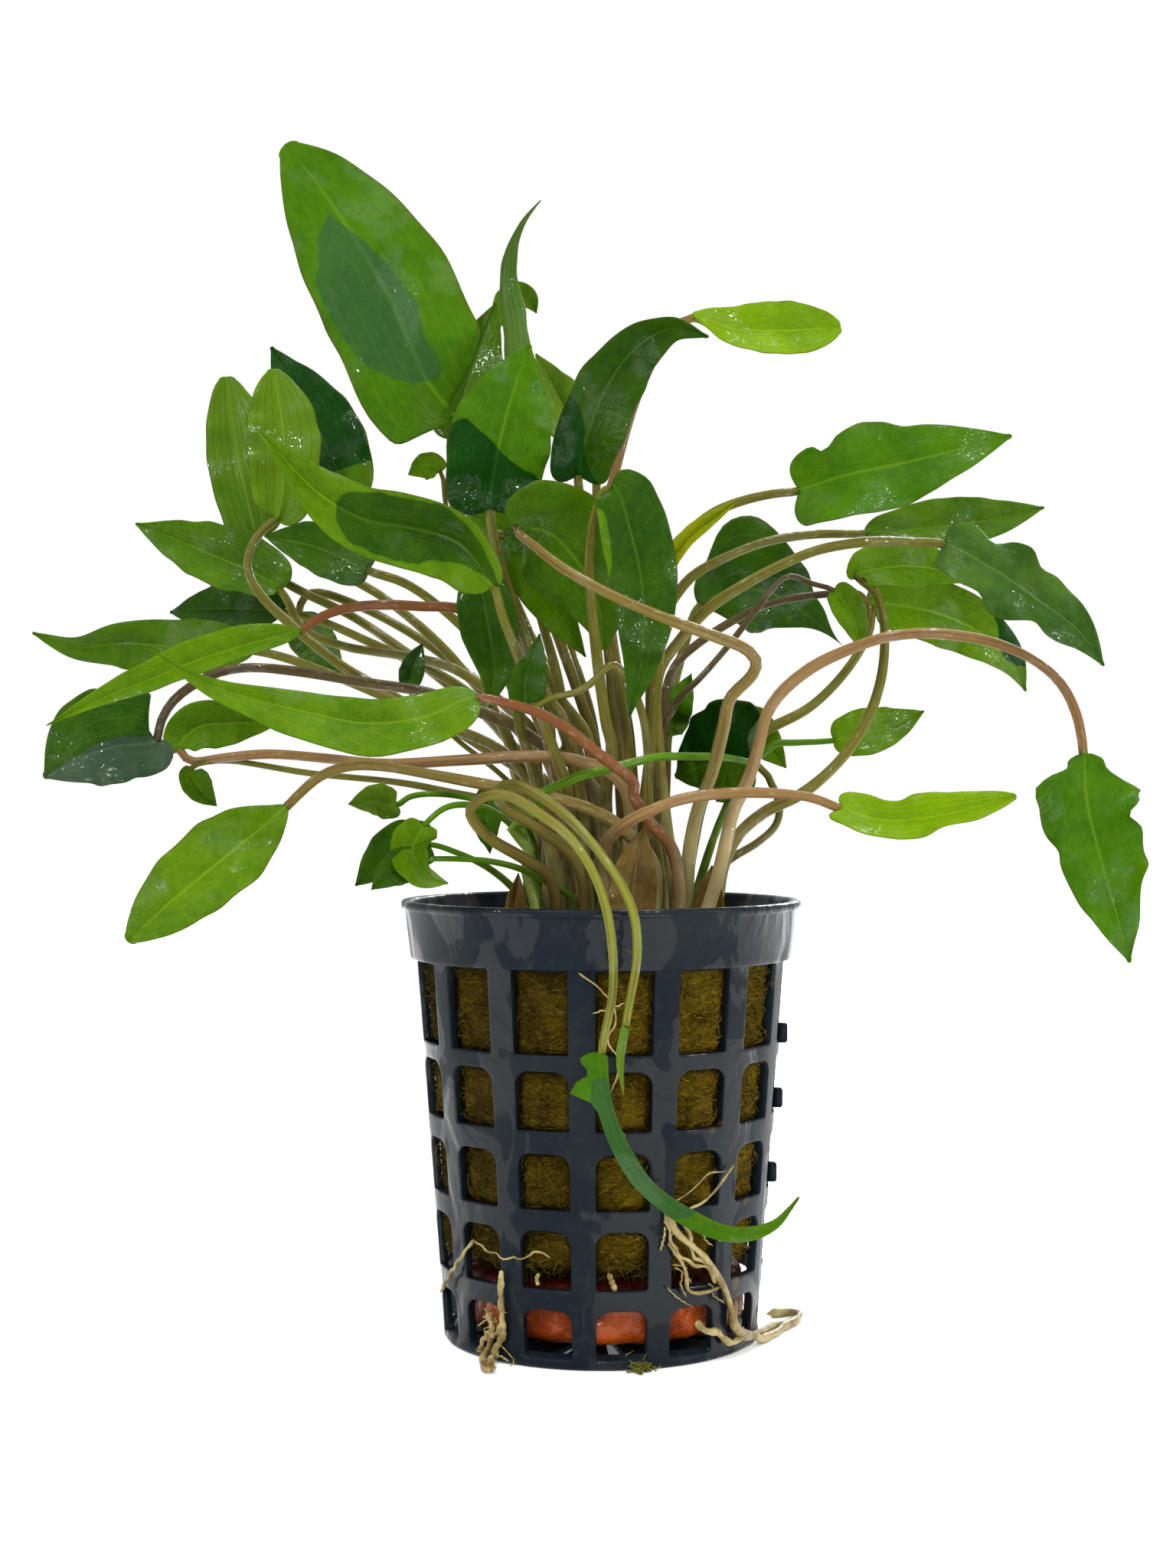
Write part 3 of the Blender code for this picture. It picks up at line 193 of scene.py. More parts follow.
def leaf(name, slot, stalk, blade, depth, half, roll=(0, 0), fold=20, lobe=0.35, wave=0.0, tone="mid",
         radius=STALK_RADIUS, stalk_depth=None, start_width=0.5, peak=0.3, waves=2.0, fixed=False,
         tip=0.95):
    """One leaf: slot is where its stalk stands in the crown (across, depth), stalk and blade are the points
    of its midline as seen (across, up), and depth is the blade's at its base and tip. half is the blade's
    half width left and right of its midline, and roll turns it about its midline, in degrees. A fixed leaf
    keeps its depth, and the others make way for it. A lower tip value makes the tip blunter."""
    return dict(name="leaf_" + name, slot=slot, stalk=stalk, blade=blade, depth=depth, half=half, roll=roll,
                fold=fold, lobe=lobe, wave=wave, tone=tone, radius=radius, stalk_depth=stalk_depth,
                start_width=start_width, peak=peak, waves=waves, fixed=fixed, tip=tip)


LEAVES = [
    # The tall leaves at the top.
    leaf("top_sail", (0.8, -1.6), [(1.5, 56), (1.5, 62), (-1.5, 74), (-8.5, 89), (-14.5, 104), (-17.3, 114)],
        [(-19, 119.2), (-22.7, 124.2), (-27.6, 135.1), (-32.7, 143.7), (-37.5, 150.7), (-41.3, 155.2)],
        (0, -12), (9.2, 8.8), (12, -12), fold=12, lobe=(1.15, 0.15), tone="bright", start_width=0.6,
        peak=0.38, tip=0.8),
    leaf("top_curl", (1.2, 3.9), [(-1, 76), (-7, 95), (-11.5, 110), (-13, 120)], [(-12, 122), (-12.4, 130),
        (-13.1, 136.7), (-12.6, 140.6), (-10.6, 144.8), (-7.9, 147.9)], (9, 12), (1.1, 1.6), (45, 60),
        fold=35, lobe=0.0, tone="pale", start_width=0.8),
    leaf("top_droop", (0.6, 6.7), [(-0.5, 76), (-6, 95), (-11, 112), (-13.2, 126)], [(-13.5, 131.5),
        (-12.3, 134), (-10.8, 135.2), (-9.4, 134.8), (-8.4, 133.1)], (17, 22), (1.9, 1.7), (25, 10), lobe=0.1,
        tone="bright", start_width=0.3),
    leaf("top_behind_sail", (0.4, 1.2), [(-3, 76), (-11, 95), (-17, 110)], [(-18.7, 117), (-17, 125),
        (-13.7, 134.5)], (10, 15), (4.5, 4.5), (-15, 10), tone="mid"),
    leaf("top_bib", (-2, -4.2), [(-4, 72), (-9, 88), (-13, 100)], [(-14.5, 107.5), (-13.5, 115), (-11.7, 122),
        (-9.3, 129.1)], (-11, -15), (6.6, 6.4), (8, -6), fold=12, lobe=0.3, tone="mid", start_width=0.7,
        peak=0.4),
    leaf("top_back", (3.4, 6.6), [(2, 76), (0.5, 95), (-0.5, 108)], [(-1, 114), (-4.5, 120), (-8.5, 127.8)],
        (15, 22), (4, 4), (20, 5), tone="pale"),
    leaf("top_arching", (5.4, -1.6), [(6.5, 56), (5.5, 66), (3.5, 79), (1.5, 89), (-0.5, 98), (-2, 106)],
        [(-3, 112), (-1.5, 118), (1, 124), (5, 129), (9.5, 131.2), (14.1, 130)], (-2, -12), (4.8, 4.6),
        (15, 25), fold=18, lobe=0.6, tone="dark", start_width=0.75),
    leaf("top_right_tongue", (4.2, 3.8), [(4, 72), (1.5, 90), (-0.2, 104), (1.5, 111), (5, 123), (9.5, 131)],
        [(12, 132.5), (17.5, 131), (24.5, 130.8), (31.3, 131.3)], (8, 16), (3.6, 3.4), (-30, -18),
        tone="bright", lobe=0.3, start_width=0.4),
    leaf("top_small", (-2.4, 1), [(-5, 76), (-13, 94), (-20, 107)], [(-21, 112.5), (-22.8, 113.2),
        (-25.2, 112)], (5, 6), (2.2, 1.8), (10, 10), tone="bright", radius=0.5),
    # The leaves of the middle, which hang in front of the stalks.
    leaf("middle_drop", (1.6, -6.8), [(1.5, 72), (-0.5, 88), (-1.5, 102), (0, 109)], [(1.5, 110.5), (4, 104),
        (5.5, 96), (5.3, 88), (3.7, 80.3)], (-19, -25), (4.6, 4.4), (-18, 10), fold=24, lobe=0.2, tone="mid",
        start_width=0.8),
    leaf("middle_front", (7.6, -4.6), [(10.5, 56.5), (11.5, 63), (12.7, 68.5), (14.5, 73), (16, 79), (17, 83),
        (19.5, 85.5), (20.3, 87.5), (19, 89.2), (14.5, 91), (8.5, 93.2), (1.5, 96.2), (-4.5, 99.5),
        (-8.5, 102.5)], [(-11, 104.9), (-7, 104.5), (-3, 100.5), (-0.5, 95.5), (0.5, 89)], (-19, -13),
        (7, 6.6), (8, -12), fold=10, lobe=0.2, tone="bright", start_width=0.7, stalk_depth=[-7, -9, -12, -15,
        -20, -24, -26, -28, -29, -29.5, -29.5, -29, -27, -23]),
    leaf("middle_under", (-5, -4.4), [(-6, 78), (-12, 95), (-14.5, 104)], [(-12.5, 104), (-8, 98.5),
        (-4.8, 92.5), (-2, 88.2)], (-7, -10), (3.6, 3.8), (10, 0), tone="mid"),
    leaf("middle_tongue", (-3.8, -7.2), [(-8, 74), (-14, 90), (-16.6, 97)], [(-16, 97.8), (-14.7, 92),
        (-14, 87), (-14.5, 81.5)], (-10, -17), (3.9, 3.7), (5, -8), fold=16, lobe=0.15, tone="dark",
        start_width=0.7),
    leaf("middle_knob", (4.4, -9.8), [(6.2, 72), (5, 82), (1.5, 87.2), (-1, 85), (-3, 83.7), (-6.5, 82.8)],
        [(-9.5, 81.5), (-10, 85), (-9, 88.3), (-8, 91.2)], (-19, -23), (2.6, 2.6), (20, 40), tone="dark",
        radius=0.7, lobe=0.15, stalk_depth=[-13, -16, -19, -20, -20, -20]),
    leaf("middle_left", (-9.8, -1.5), [(-5, 80), (-8, 94)], [(-9.5, 100), (-13, 104), (-17.7, 107.2)],
        (-3, 0), (4, 4), (15, 15), tone="mid"),
    leaf("middle_small", (6.4, 1.2), [(8.6, 70)], [(9, 78), (10.2, 82), (11.8, 86)], (6, 9), (2.2, 2.0),
        (20, 0), tone="mid", radius=0.6),
    # The leaves on the left.
    leaf("left_back_tall", (-4.8, 9.5), [(-3, 65), (-13.5, 79), (-20.5, 85), (-26.5, 89.5), (-32.5, 93.5),
        (-40.5, 97.5), (-44, 100)], [(-45, 104), (-47.3, 114), (-49, 124.8)], (30, 38), (5.0, 4.6), (-10, 10),
        tone="mid", fold=12),
    leaf("left_pale", (-8.8, 4), [(-8.5, 71), (-16.5, 77), (-24.5, 81.5), (-30.5, 85), (-34.5, 87.5),
        (-41, 92.8), (-45, 97), (-46.2, 100), (-45.7, 102.5), (-44, 105)], [(-42.5, 106.2), (-41.5, 116),
        (-42.8, 125.8)], (14, 20), (5.2, 5.0), (5, 12), tone="pale", fold=16, lobe=0.15, start_width=0.35,
        peak=0.45),
    leaf("left_dark_back", (-6.8, 6.8), [(-10, 75), (-18.5, 87), (-24, 92.5), (-28.5, 96), (-34.5, 100.2),
        (-35, 105)], [(-33.5, 108.5), (-37, 118), (-43.1, 128.7)], (24, 34), (6, 6.2), (-12, 8), tone="dark",
        fold=14),
    leaf("left_flag", (-4, 6.6), [(-8, 76), (-18, 86), (-24, 88), (-34, 89.7), (-39, 92)], [(-42, 97),
        (-51.5, 101.8), (-60.8, 105.6)], (22, 34), (5.0, 4.6), (25, 20), tone="mid"),
    leaf("left_flag_low", (-6, 3.8), [(-8, 74), (-18, 84), (-30, 90), (-37, 93)], [(-41.5, 94), (-49, 94.5),
        (-56.3, 94)], (28, 42), (4.2, 4.0), (30, 20), tone="dark"),
    leaf("left_far", (-8, 1), [(-10, 73), (-22, 80), (-33, 85), (-41, 88)], [(-45.5, 89), (-55.5, 89.5),
        (-62.5, 90), (-68.5, 89.5), (-74.3, 91.4)], (9, 18), (3.8, 3.6), (20, -35), tone="mid", wave=0.25),
    leaf("left_long", (-7.8, -4.4), [(-5, 70), (-9, 82), (-13, 90), (-18, 94.3), (-23.5, 94.8), (-28.5, 95),
        (-33.5, 94.5), (-37, 93.2)], [(-39.3, 91.5), (-45.5, 90), (-52.5, 87.8), (-59.5, 85), (-66.5, 82.2),
        (-72.5, 79.2)], (-15, -26), (3.0, 3.2), (30, 15), tone="bright", fold=26, lobe=0.25),
    leaf("left_tilted", (-1.2, -6.8), [(-5, 72), (-10, 86), (-13, 94)], [(-14, 97.5), (-18.5, 103),
        (-24.5, 105), (-30.5, 106), (-35.5, 108.5), (-40, 112.5), (-44.7, 117.8)], (-21, -25), (4.6, 4.6),
        (-30, 25), tone="dark", fold=30, lobe=0.2, start_width=0.6),
    leaf("left_hanging_back", (-1.6, 9.6), [(-8, 76), (-20, 88), (-32, 95), (-38, 96.5)], [(-39.5, 94),
        (-37, 89.5), (-33.5, 84.8)], (32, 40), (3.6, 3.4), (0, 20), tone="mid"),
    leaf("left_shadow", (-5.2, 1), [(-6, 76), (-16, 90), (-25, 97.5)], [(-30.5, 99.5), (-37, 102.5),
        (-44, 104)], (6, 9), (4, 4), (10, 10), tone="dark"),
    leaf("left_broad", (-4.2, -1.6), [(1, 66), (-2.5, 73), (-8.5, 78), (-14.5, 80.5), (-22.5, 83.5),
        (-30.5, 84.8), (-35.5, 85.7), (-40.5, 86.4), (-45.5, 86.8), (-49.5, 86.3), (-53, 84.7), (-56, 82.3),
        (-57.6, 79.5)], [(-58, 77.3), (-63, 76.5), (-68, 75), (-72.8, 72.4)], (-4, -12), (4.8, 7.6), (12, 8),
        tone="mid", fold=10, start_width=0.7, peak=0.45),
    leaf("left_folded", (5.2, -4), [(1.5, 72.4), (-2.5, 74.5), (-8.5, 75.2), (-18.5, 74.7), (-28.5, 74.2),
        (-36.5, 75), (-43.5, 75.5), (-49.5, 75), (-53.5, 74.6)], [(-55, 76), (-53, 78.8), (-48, 79.6),
        (-42, 79.5)], (4, 9), (3.2, 3.6), (-20, 10), tone="mid", stalk_depth=[-11, -12, -12, -11, -8, -5, -2,
        1, 3]),
    leaf("left_low_front", (4.8, -6.6), [(8.3, 59), (6.5, 62.8), (2.5, 66.2), (-2.5, 68.7), (-8.5, 70.4),
        (-15.5, 71.6), (-22.5, 72.9), (-28.5, 73.9), (-33, 73.9), (-36.5, 72.7), (-39.3, 70.4)],
        [(-41.3, 68.4), (-48.5, 62.5), (-55.5, 56.8), (-61.9, 51)], (-17, -28), (5.3, 5.2), (20, 5),
        tone="bright", fold=16, lobe=0.35, wave=0.1, stalk_depth=[-10, -12, -13, -14, -15, -15, -15, -15, -15,
        -15, -16]),
    leaf("left_front", (7.3, -8.9), [(8.7, 56), (8, 62), (6, 67), (3, 72), (-0.5, 75.5), (-4, 78.5),
        (-8.5, 81), (-12.5, 82.2)], [(-16.3, 82.8), (-22.5, 80.5), (-30.5, 79.5), (-38.5, 81), (-46.5, 83),
        (-52.5, 85.2), (-59, 89.3)], (-29, -34), (4.9, 4.7), (28, 10), tone="bright", fold=16, lobe=0.3,
        start_width=0.75, stalk_depth=[-9, -12, -17, -21, -24, -26, -28, -29]),
    leaf("left_dot", (-3.3, 3), [(-9, 68), (-18, 77), (-24, 82)], [(-25, 84.2), (-24.5, 87), (-23.3, 90)],
        (7, 9), (1.9, 1.7), (10, 0), tone="dark", radius=0.5),
    # The leaves on the right.
    leaf("right_wing", (8.2, -1.6), [(6.5, 76), (6.8, 90), (8, 98), (9.5, 102.5), (12, 105), (15, 107.2),
        (18.5, 108.6), (22.5, 109.5)], [(26, 109.9), (31.5, 111.8), (41.5, 114), (53.7, 117.1)], (-6, -18),
        (5.2, 5.8), (-25, -12), tone="bright", fold=12, lobe=0.45, wave=0.12, start_width=0.65),
    leaf("right_young", (3, -4.1), [(6.5, 76), (7.6, 88)], [(8.3, 94), (8.5, 99), (11, 103.5), (18, 108.8)],
        (-11, -12), (1.5, 1.5), (0, 0), tone="yellow", fold=45, lobe=0.0, start_width=0.5, peak=0.6),
    leaf("right_back_slab", (3.8, 9.4), [(7, 70), (9, 82), (11, 90)], [(13, 95), (20, 97), (26.5, 94),
        (32.3, 89)], (24, 36), (9.0, 6.4), (-8, 0), tone="dark", fold=8, start_width=0.7, peak=0.4),
    leaf("right_behind_wing", (6.4, 6.8), [(7, 76), (7.3, 88), (8.5, 94), (10, 96.5), (12, 98.8),
        (16.5, 101.3), (21.5, 103.2), (27.5, 104.2)], [(34.5, 104.3), (42.5, 105), (50.5, 106),
        (57.9, 107.7)], (12, 22), (3.4, 3.2), (-30, -12), tone="mid", lobe=0.2, start_width=0.3, peak=0.45),
    leaf("right_bluish", (10.8, -3.4), [(7.5, 74), (7.5, 86), (10, 90), (14, 94.5), (18.5, 97.5),
        (23.5, 100.2), (28.5, 102.2), (34.5, 103.2), (40.5, 103.2)], [(45, 102.8), (51.5, 99.5), (58, 95),
        (62.5, 91.5), (65.7, 87)], (-14, -24), (4.2, 5.0), (-18, -5), tone="dark", wave=0.28, waves=2.5),
    leaf("right_looped", (11.4, -0.6), [(15, 56), (16, 61), (18, 65), (21.5, 68), (26.5, 70.5), (31.5, 75),
        (35, 80.5), (36.7, 86), (37, 92), (36.3, 95.5), (35, 97.5)], [(33.5, 98.6), (38.5, 100), (44.5, 99.5),
        (48.5, 98)], (5, 12), (3.6, 3.4), (-20, -10), tone="bright", wave=0.15),
    leaf("right_crossing", (8.6, 4.2), [(11, 57), (12, 64), (13.5, 70), (16.5, 75), (21.5, 78.5),
        (27.5, 81.8), (32.5, 87), (35, 91.5)], [(35.8, 94.6), (41.5, 94.5), (48.5, 92), (53.5, 88),
        (55.5, 83.7)], (16, 24), (4.6, 4.8), (-12, 8), tone="mid", wave=0.15, lobe=0.5),
    leaf("right_small_lobe", (9.6, 1.4), [(8, 75.5), (8.3, 79), (10, 82.5), (13, 85.5), (16.5, 89.5),
        (20, 94), (23, 97.8), (24.5, 98.8), (27.5, 97.8)], [(30.5, 96.8), (33, 93), (34, 89)], (2, 0),
        (2.4, 2.2), (-10, 10), tone="bright", radius=0.6),
    leaf("right_hanging", (11.4, -5.2), [(14.5, 57), (17.5, 69), (20, 77), (21.5, 80.5), (23.5, 83.5),
        (27.5, 86.8), (31.5, 88.8), (36.5, 90.6), (41.5, 91.3), (46.5, 91), (51.5, 90), (56.5, 87.8),
        (60, 84.8), (62, 81), (62.8, 77.5)], [(63, 75.5), (63.5, 69), (65.5, 61), (67.5, 54), (69.1, 48.2)],
        (-16, -22), (6.2, 6.0), (-15, 12), tone="bright", fold=14, lobe=0.3, wave=0.34, waves=3.0,
        start_width=0.7),
    leaf("right_low_tongue", (1.2, -9.6), [(0.5, 63.5), (2.5, 65.8), (5.5, 67.8), (10.5, 69.6), (16.5, 70.4),
        (22.5, 70.4), (27.5, 69.8)], [(31.5, 68.3), (37.5, 66.8), (44.5, 67.5), (54.3, 70)], (-21, -31),
        (2.6, 2.8), (-35, -20), tone="bright", lobe=0.9, start_width=0.7, wave=0.1, stalk_depth=[-16, -19,
        -20, -21, -21, -21, -21]),
    leaf("right_oval", (9.2, 6.8), [(17, 70), (21.5, 76.5), (25.5, 77), (28, 77.1)], [(30.5, 77.3),
        (34.5, 78), (38.5, 79.3), (42.2, 81.1)], (10, 14), (3.6, 3.2), (-12, -12), tone="mid", radius=0.7),
    leaf("right_turned", (-8.2, -8.2), [(-8.5, 62), (-9.5, 66), (-8.5, 70), (-3.5, 72.2), (1.5, 73.5),
        (6.5, 75), (11.5, 75.2), (17.5, 75)], [(20, 74.2), (17, 74.6), (13.5, 74), (9.7, 72.5)], (-3, 9),
        (5.6, 8.2), (0, 10), tone="dark", radius=0.75, fold=10, start_width=0.7, stalk_depth=[-13, -17, -22,
        -23, -22, -19, -15, -9.5]),
    leaf("right_behind_turned", (11, 4), [(14.5, 59), (16.5, 61.5), (20.5, 64), (22.8, 66.2), (23.3, 68.5),
        (22.3, 71.5), (20, 74.2), (18.5, 78)], [(17.5, 81), (20.5, 78), (24.2, 73.7)], (10, 14), (3.2, 3.0),
        (0, 0), tone="bright", radius=0.7),
    # The leaves low on the left.
    leaf("low_point", (-10.8, -4), [(-10, 65), (-15.5, 69.2), (-18.5, 70), (-22.5, 70.3), (-25, 69.9)],
        [(-26.8, 68.8), (-29.8, 69.3), (-33, 69)], (-9, -12), (2.2, 2.2), (25, 10), tone="pale", radius=0.6),
    leaf("low_bright", (-6.4, -7), [(-10, 64), (-14.5, 68.2), (-18.5, 68.9), (-20.5, 68.4), (-22, 67.3)],
        [(-23.2, 66), (-24.5, 63), (-23, 60), (-20, 58.6)], (-17, -25), (2.8, 2.9), (10, 30), tone="bright",
        radius=0.6),
    leaf("low_dark", (-9.5, -6.5), [(-9.8, 55.7), (-11.5, 58), (-14.5, 60.5), (-18.5, 62.5)], [(-22.5, 63.7),
        (-26, 63), (-29, 61), (-32.1, 58.3)], (-12, -16), (3.6, 3.6), (10, 10), tone="dark", radius=0.6),
    leaf("low_small", (-7, -1.8), [(-9, 64), (-12.5, 69.5)], [(-14, 70.6), (-14.9, 67), (-14.5, 62.5)],
        (-6, -8), (2.1, 2.1), (10, 0), tone="mid", radius=0.55),
    # Two stalks that loop to the left and hang over the pot's rim.
    leaf("over_rim_outer", (-5.5, -10), [(-6.5, 59), (-9.5, 61.5), (-14.5, 64.5), (-16.8, 67), (-17, 68.5),
        (-15, 70), (-12, 70), (-8.5, 68), (-4.5, 65), (-1.5, 61), (0.5, 56), (1.5, 50), (1.5, 44), (0.5, 39)],
        [(0.1, 36.5), (0.3, 31), (2.2, 25), (6, 19), (11.5, 15), (17.5, 12.8), (22.5, 14), (25.9, 17.7)],
        (-29.6, -26), (1.9, 1.9), (72, 66), tone="bright", radius=1.0, fold=28, lobe=0.9, wave=0.15,
        fixed=True, stalk_depth=[-13, -16, -21, -24, -25.5, -27, -28, -28.5, -29, -29.6, -30.4, -30.8, -30.6,
        -30]),
    leaf("over_rim_inner", (-2, -11.5), [(-3, 61), (-8.5, 66), (-13, 69), (-13.2, 71.2), (-11.5, 71.6),
        (-8.5, 70.3), (-4.5, 67.4), (-0.5, 63), (2.9, 58), (4.4, 54), (4.7, 49), (3.9, 44)], [(3.2, 40),
        (2.6, 35.5), (2.9, 31)], (-32.4, -33.5), (0.8, 0.8), (40, 40), tone="pale", radius=1.0, lobe=0.2,
        fixed=True, stalk_depth=[-14, -17, -20, -22, -23, -24.5, -26.5, -28.5, -30.2, -31, -31.5, -32]),
]


def sheath(name, slot, blade, depth, half, roll):
    """A papery scale at the foot of the stalks."""
    made = leaf("sheath", slot, [], blade, depth, half, roll, fold=30, lobe=0.0, tone="papery",
                radius=1.0, start_width=0.75, peak=0.45, fixed=True)
    made["name"] = name
    return made


SHEATHS = [
    sheath("sheath_front", (5, -12), [(4.2, 52), (4.2, 58), (5.6, 66)], (-13.5, -15), (3.4, 3.4), (0, 0)),
    sheath("sheath_left", (-11, -8.5), [(-10.4, 50), (-11.2, 55), (-10.8, 60)], (-10, -10.5), (1.8, 1.8),
        (10, 10)),
    sheath("sheath_right", (13, -4), [(13.2, 50), (14.2, 55), (14.5, 61)], (-5, -5), (2.4, 2.4), (-10, -10)),
]

# How each leaf looks, where it isn't as its tone says. The underside faces the front on a turned leaf. A
# patch has its own tone inside an outline, which is given as the front view shows it. On some leaves the
# patch is painted shade or shadow.
LOOKS = {
    # The top sail's patch is painted shadow of the leaf behind it, where the two lie wet together.
    "leaf_top_sail": dict(stalk="olive", tone="fresh", patch="wet", shape=dict(start_width=0.98, tip=0.62,
        lobe=(-0.08, -0.35)), notches=[(-1, 0.0, 0.55, 0.07)], outline=[(-35.5, 146.7), (-36.9, 143),
        (-37, 137), (-35.5, 133), (-34, 130), (-32.3, 127.8), (-30.5, 126), (-28, 124.8), (-25.5, 124),
        (-22.9, 124.2), (-21, 125), (-21.3, 127.5), (-22.5, 129), (-24, 134), (-26, 137.2), (-28.5, 140),
        (-31.5, 143), (-34.5, 145.5)]),
    # The bib's patch is painted shadow over its lower part.
    "leaf_top_bib": dict(tone="fresh", patch="deep", outline=[(-23, 112), (-22, 118), (-19.3, 118.6),
        (-17.5, 119.2), (-14, 116), (-10.5, 113), (-8, 111.5), (-6.5, 108), (-9, 104), (-17, 104),
        (-22, 107)]),
    "leaf_top_arching": dict(tone="dark", stalk="olive", patch="deep", outline=[(-10, 124), (-6, 124),
        (-2.5, 120), (-2, 114), (-1, 110), (-9, 108)]),
    "leaf_top_curl": dict(turned=True, tone="bluish", shape=dict(half=(1.9, 2.3), start_width=0.9, peak=0.3,
        tip=1.3)),
    "leaf_top_right_tongue": dict(stalk="pink", tone="lime", base_round=0.0, shape=dict(peak=0.6, tip=0.55,
        half=(3.5, 3.7), start_width=0.12, lobe=0.0)),
    "leaf_top_droop": dict(shape=dict(half=(2.6, 2.4))),
    "leaf_middle_drop": dict(tone="dark", patch="bright", outline=[(-3, 107.5), (0.2, 107), (1.2, 102),
        (0.8, 97.5), (-1, 97), (-3, 101)]),
    "leaf_middle_front": dict(tone="mid", stalk="tan"),
    "leaf_middle_under": dict(tone="mid"),
    # This patch is painted shadow that another leaf casts on this one.
    "leaf_right_crossing": dict(tone="bright", patch="deep", outline=[(51, 97), (61, 97), (61, 88),
        (53, 88)]),
    "leaf_right_turned": dict(stalk="green", tone="deep", patch="mid", outline=[(8, 74.2), (14, 74.8),
        (22, 73.2), (24, 66), (8, 66)]),
    "leaf_left_dark_back": dict(tone="deep", patch="mid", outline=[(-37, 112), (-31, 113.5), (-25, 115),
        (-24, 111), (-27, 107), (-36, 107)]),
    "leaf_left_broad": dict(stalk="brown", tone="dark", patch="grey", outline=[(-56, 78), (-62, 77.8),
        (-66, 76.8), (-71, 73.6), (-75, 71), (-60, 67), (-54, 74)]),
    # This patch is painted shade in the hollow of the folded blade.
    "leaf_left_tilted": dict(tone="bright", patch="dark", outline=[(-34.8, 106.3), (-33.2, 109.8),
        (-24, 108.8), (-18.2, 106.3), (-14.9, 101.3), (-13.3, 97), (-18.2, 100.5), (-25.7, 100.6),
        (-32.4, 103)]),
    "leaf_left_folded": dict(stalk="pink", tone="bright"),
    "leaf_left_low_front": dict(stalk="tan", base_round=0.0, shape=dict(peak=0.42, tip=0.62, start_width=0.12,
        lobe=0.0, half=(4.9, 4.9))),
    "leaf_right_wing": dict(tone="fresh", notches=[(1, 0.19, 0.34, 0.035), (1, 0.34, -0.12, 0.06),
        (1, 0.55, 0.16, 0.07)]),
    "leaf_right_back_slab": dict(tone="dark", base_round=0.0, shape=dict(half=(10.6, 6.4), start_width=0.1,
        peak=0.3, tip=2.6, lobe=0.0), notches=[(1, 0.1, 0.34, 0.08), (1, 0.46, 0.28, 0.1),
        (1, 0.64, 0.3, 0.1)]),
    "leaf_right_hanging": dict(stalk="pink", tone="fresh", base_round=0.0, shape=dict(start_width=0.1,
        peak=0.2, tip=0.9, lobe=0.0), notches=[(1, 0.07, 0.4, 0.045), (-1, 0.07, 0.4, 0.045),
        (1, 0.17, -0.12, 0.03), (-1, 0.19, -0.14, 0.03), (1, 0.34, 0.3, 0.045), (1, 0.58, -0.12, 0.05),
        (-1, 0.42, 0.14, 0.06), (-1, 0.7, -0.06, 0.06)]),
    "leaf_left_long": dict(stalk="red", shape=dict(half=(2.2, 2.4), start_width=0.3, peak=0.34, tip=1.1)),
    "leaf_left_front": dict(stalk="red", shape=dict(half=(4.3, 2.6), start_width=0.62, peak=0.26, tip=1.4)),
    "leaf_low_point": dict(stalk="green"),
    "leaf_low_bright": dict(stalk="green"),
    "leaf_low_dark": dict(stalk="green"),
    "leaf_low_small": dict(stalk="green"),
    "leaf_low_under": dict(stalk="green"),
    "leaf_right_oval": dict(stalk="green", tone="bright"),
    "leaf_right_low_tongue": dict(stalk="pink", tone="lime", shape=dict(peak=0.3, tip=0.62, start_width=0.6),
        notches=[(1, 0.3, 0.25, 0.12), (-1, 0.62, 0.3, 0.1)]),
    "leaf_right_small_lobe": dict(stalk="brown"),
    "leaf_right_kinked": dict(stalk="brown"),
    "leaf_left_pale": dict(turned=True, shape=dict(half=(5.4, 5.2), peak=0.5, start_width=0.6, tip=0.62)),
    "leaf_left_back_tall": dict(turned=True, tone="mid", shape=dict(half=(4.6, 5.2), peak=0.42,
        start_width=0.75, tip=0.5)),
    "leaf_right_bluish": dict(tone="bluish", shape=dict(wave=0.42), notches=[(1, 0.2, 0.22, 0.05),
        (1, 0.46, 0.26, 0.05), (-1, 0.3, 0.2, 0.05), (-1, 0.62, 0.22, 0.05)]),
    "leaf_over_rim_outer": dict(stalk="loop", tone="fresh", base_round=0.015, shape=dict(fold=8,
        roll=(22, 40), half=(1.2, 1.2), start_width=0.66, lobe=0.0, wave=0.05, peak=0.62, tip=0.75,
        radius=0.82), notches=[(-1, 0.03, -2.2, 0.026), (-1, 0.11, -3.8, 0.03)], patch="wet",
        outline=[(-1, 33), (4, 33), (9, 24), (13, 17), (9, 15), (3, 20), (-1, 28)]),
    "leaf_over_rim_inner": dict(stalk="loop", shape=dict(half=(0.5, 0.5), radius=0.82)),
}

# Small leaves that are too fine for plain solids.
SMALL_LEAVES = [
    leaf("left_tag", (-7.4, -5.4), [(-8, 66), (-22, 71), (-38, 73), (-50, 74.6)], [(-53.6, 73.6), (-52.5, 71),
        (-50.2, 68.7)], (2, 4), (2.2, 2.0), tone="mid", radius=0.6),
    leaf("low_under", (-9.4, -8.2), [(-3.5, 56), (-6.5, 58.5), (-10.5, 60.5), (-14.5, 61.5), (-18.5, 61.8),
        (-22.5, 61.8)], [(-24.5, 61.6), (-27.5, 60), (-30, 57.8)], (-19, -22), (2.4, 2.4), tone="dark",
        radius=0.55),
    leaf("right_kinked", (6.6, 3.4), [(8.5, 74), (8.5, 84), (10, 87.5), (12.5, 89.8), (16.5, 92.5),
        (21.5, 95), (27.5, 96.2)], [(32.5, 96.3), (34, 95.2), (35, 93)], (9, 10), (1.2, 1.2), tone="papery",
        radius=0.8),
]


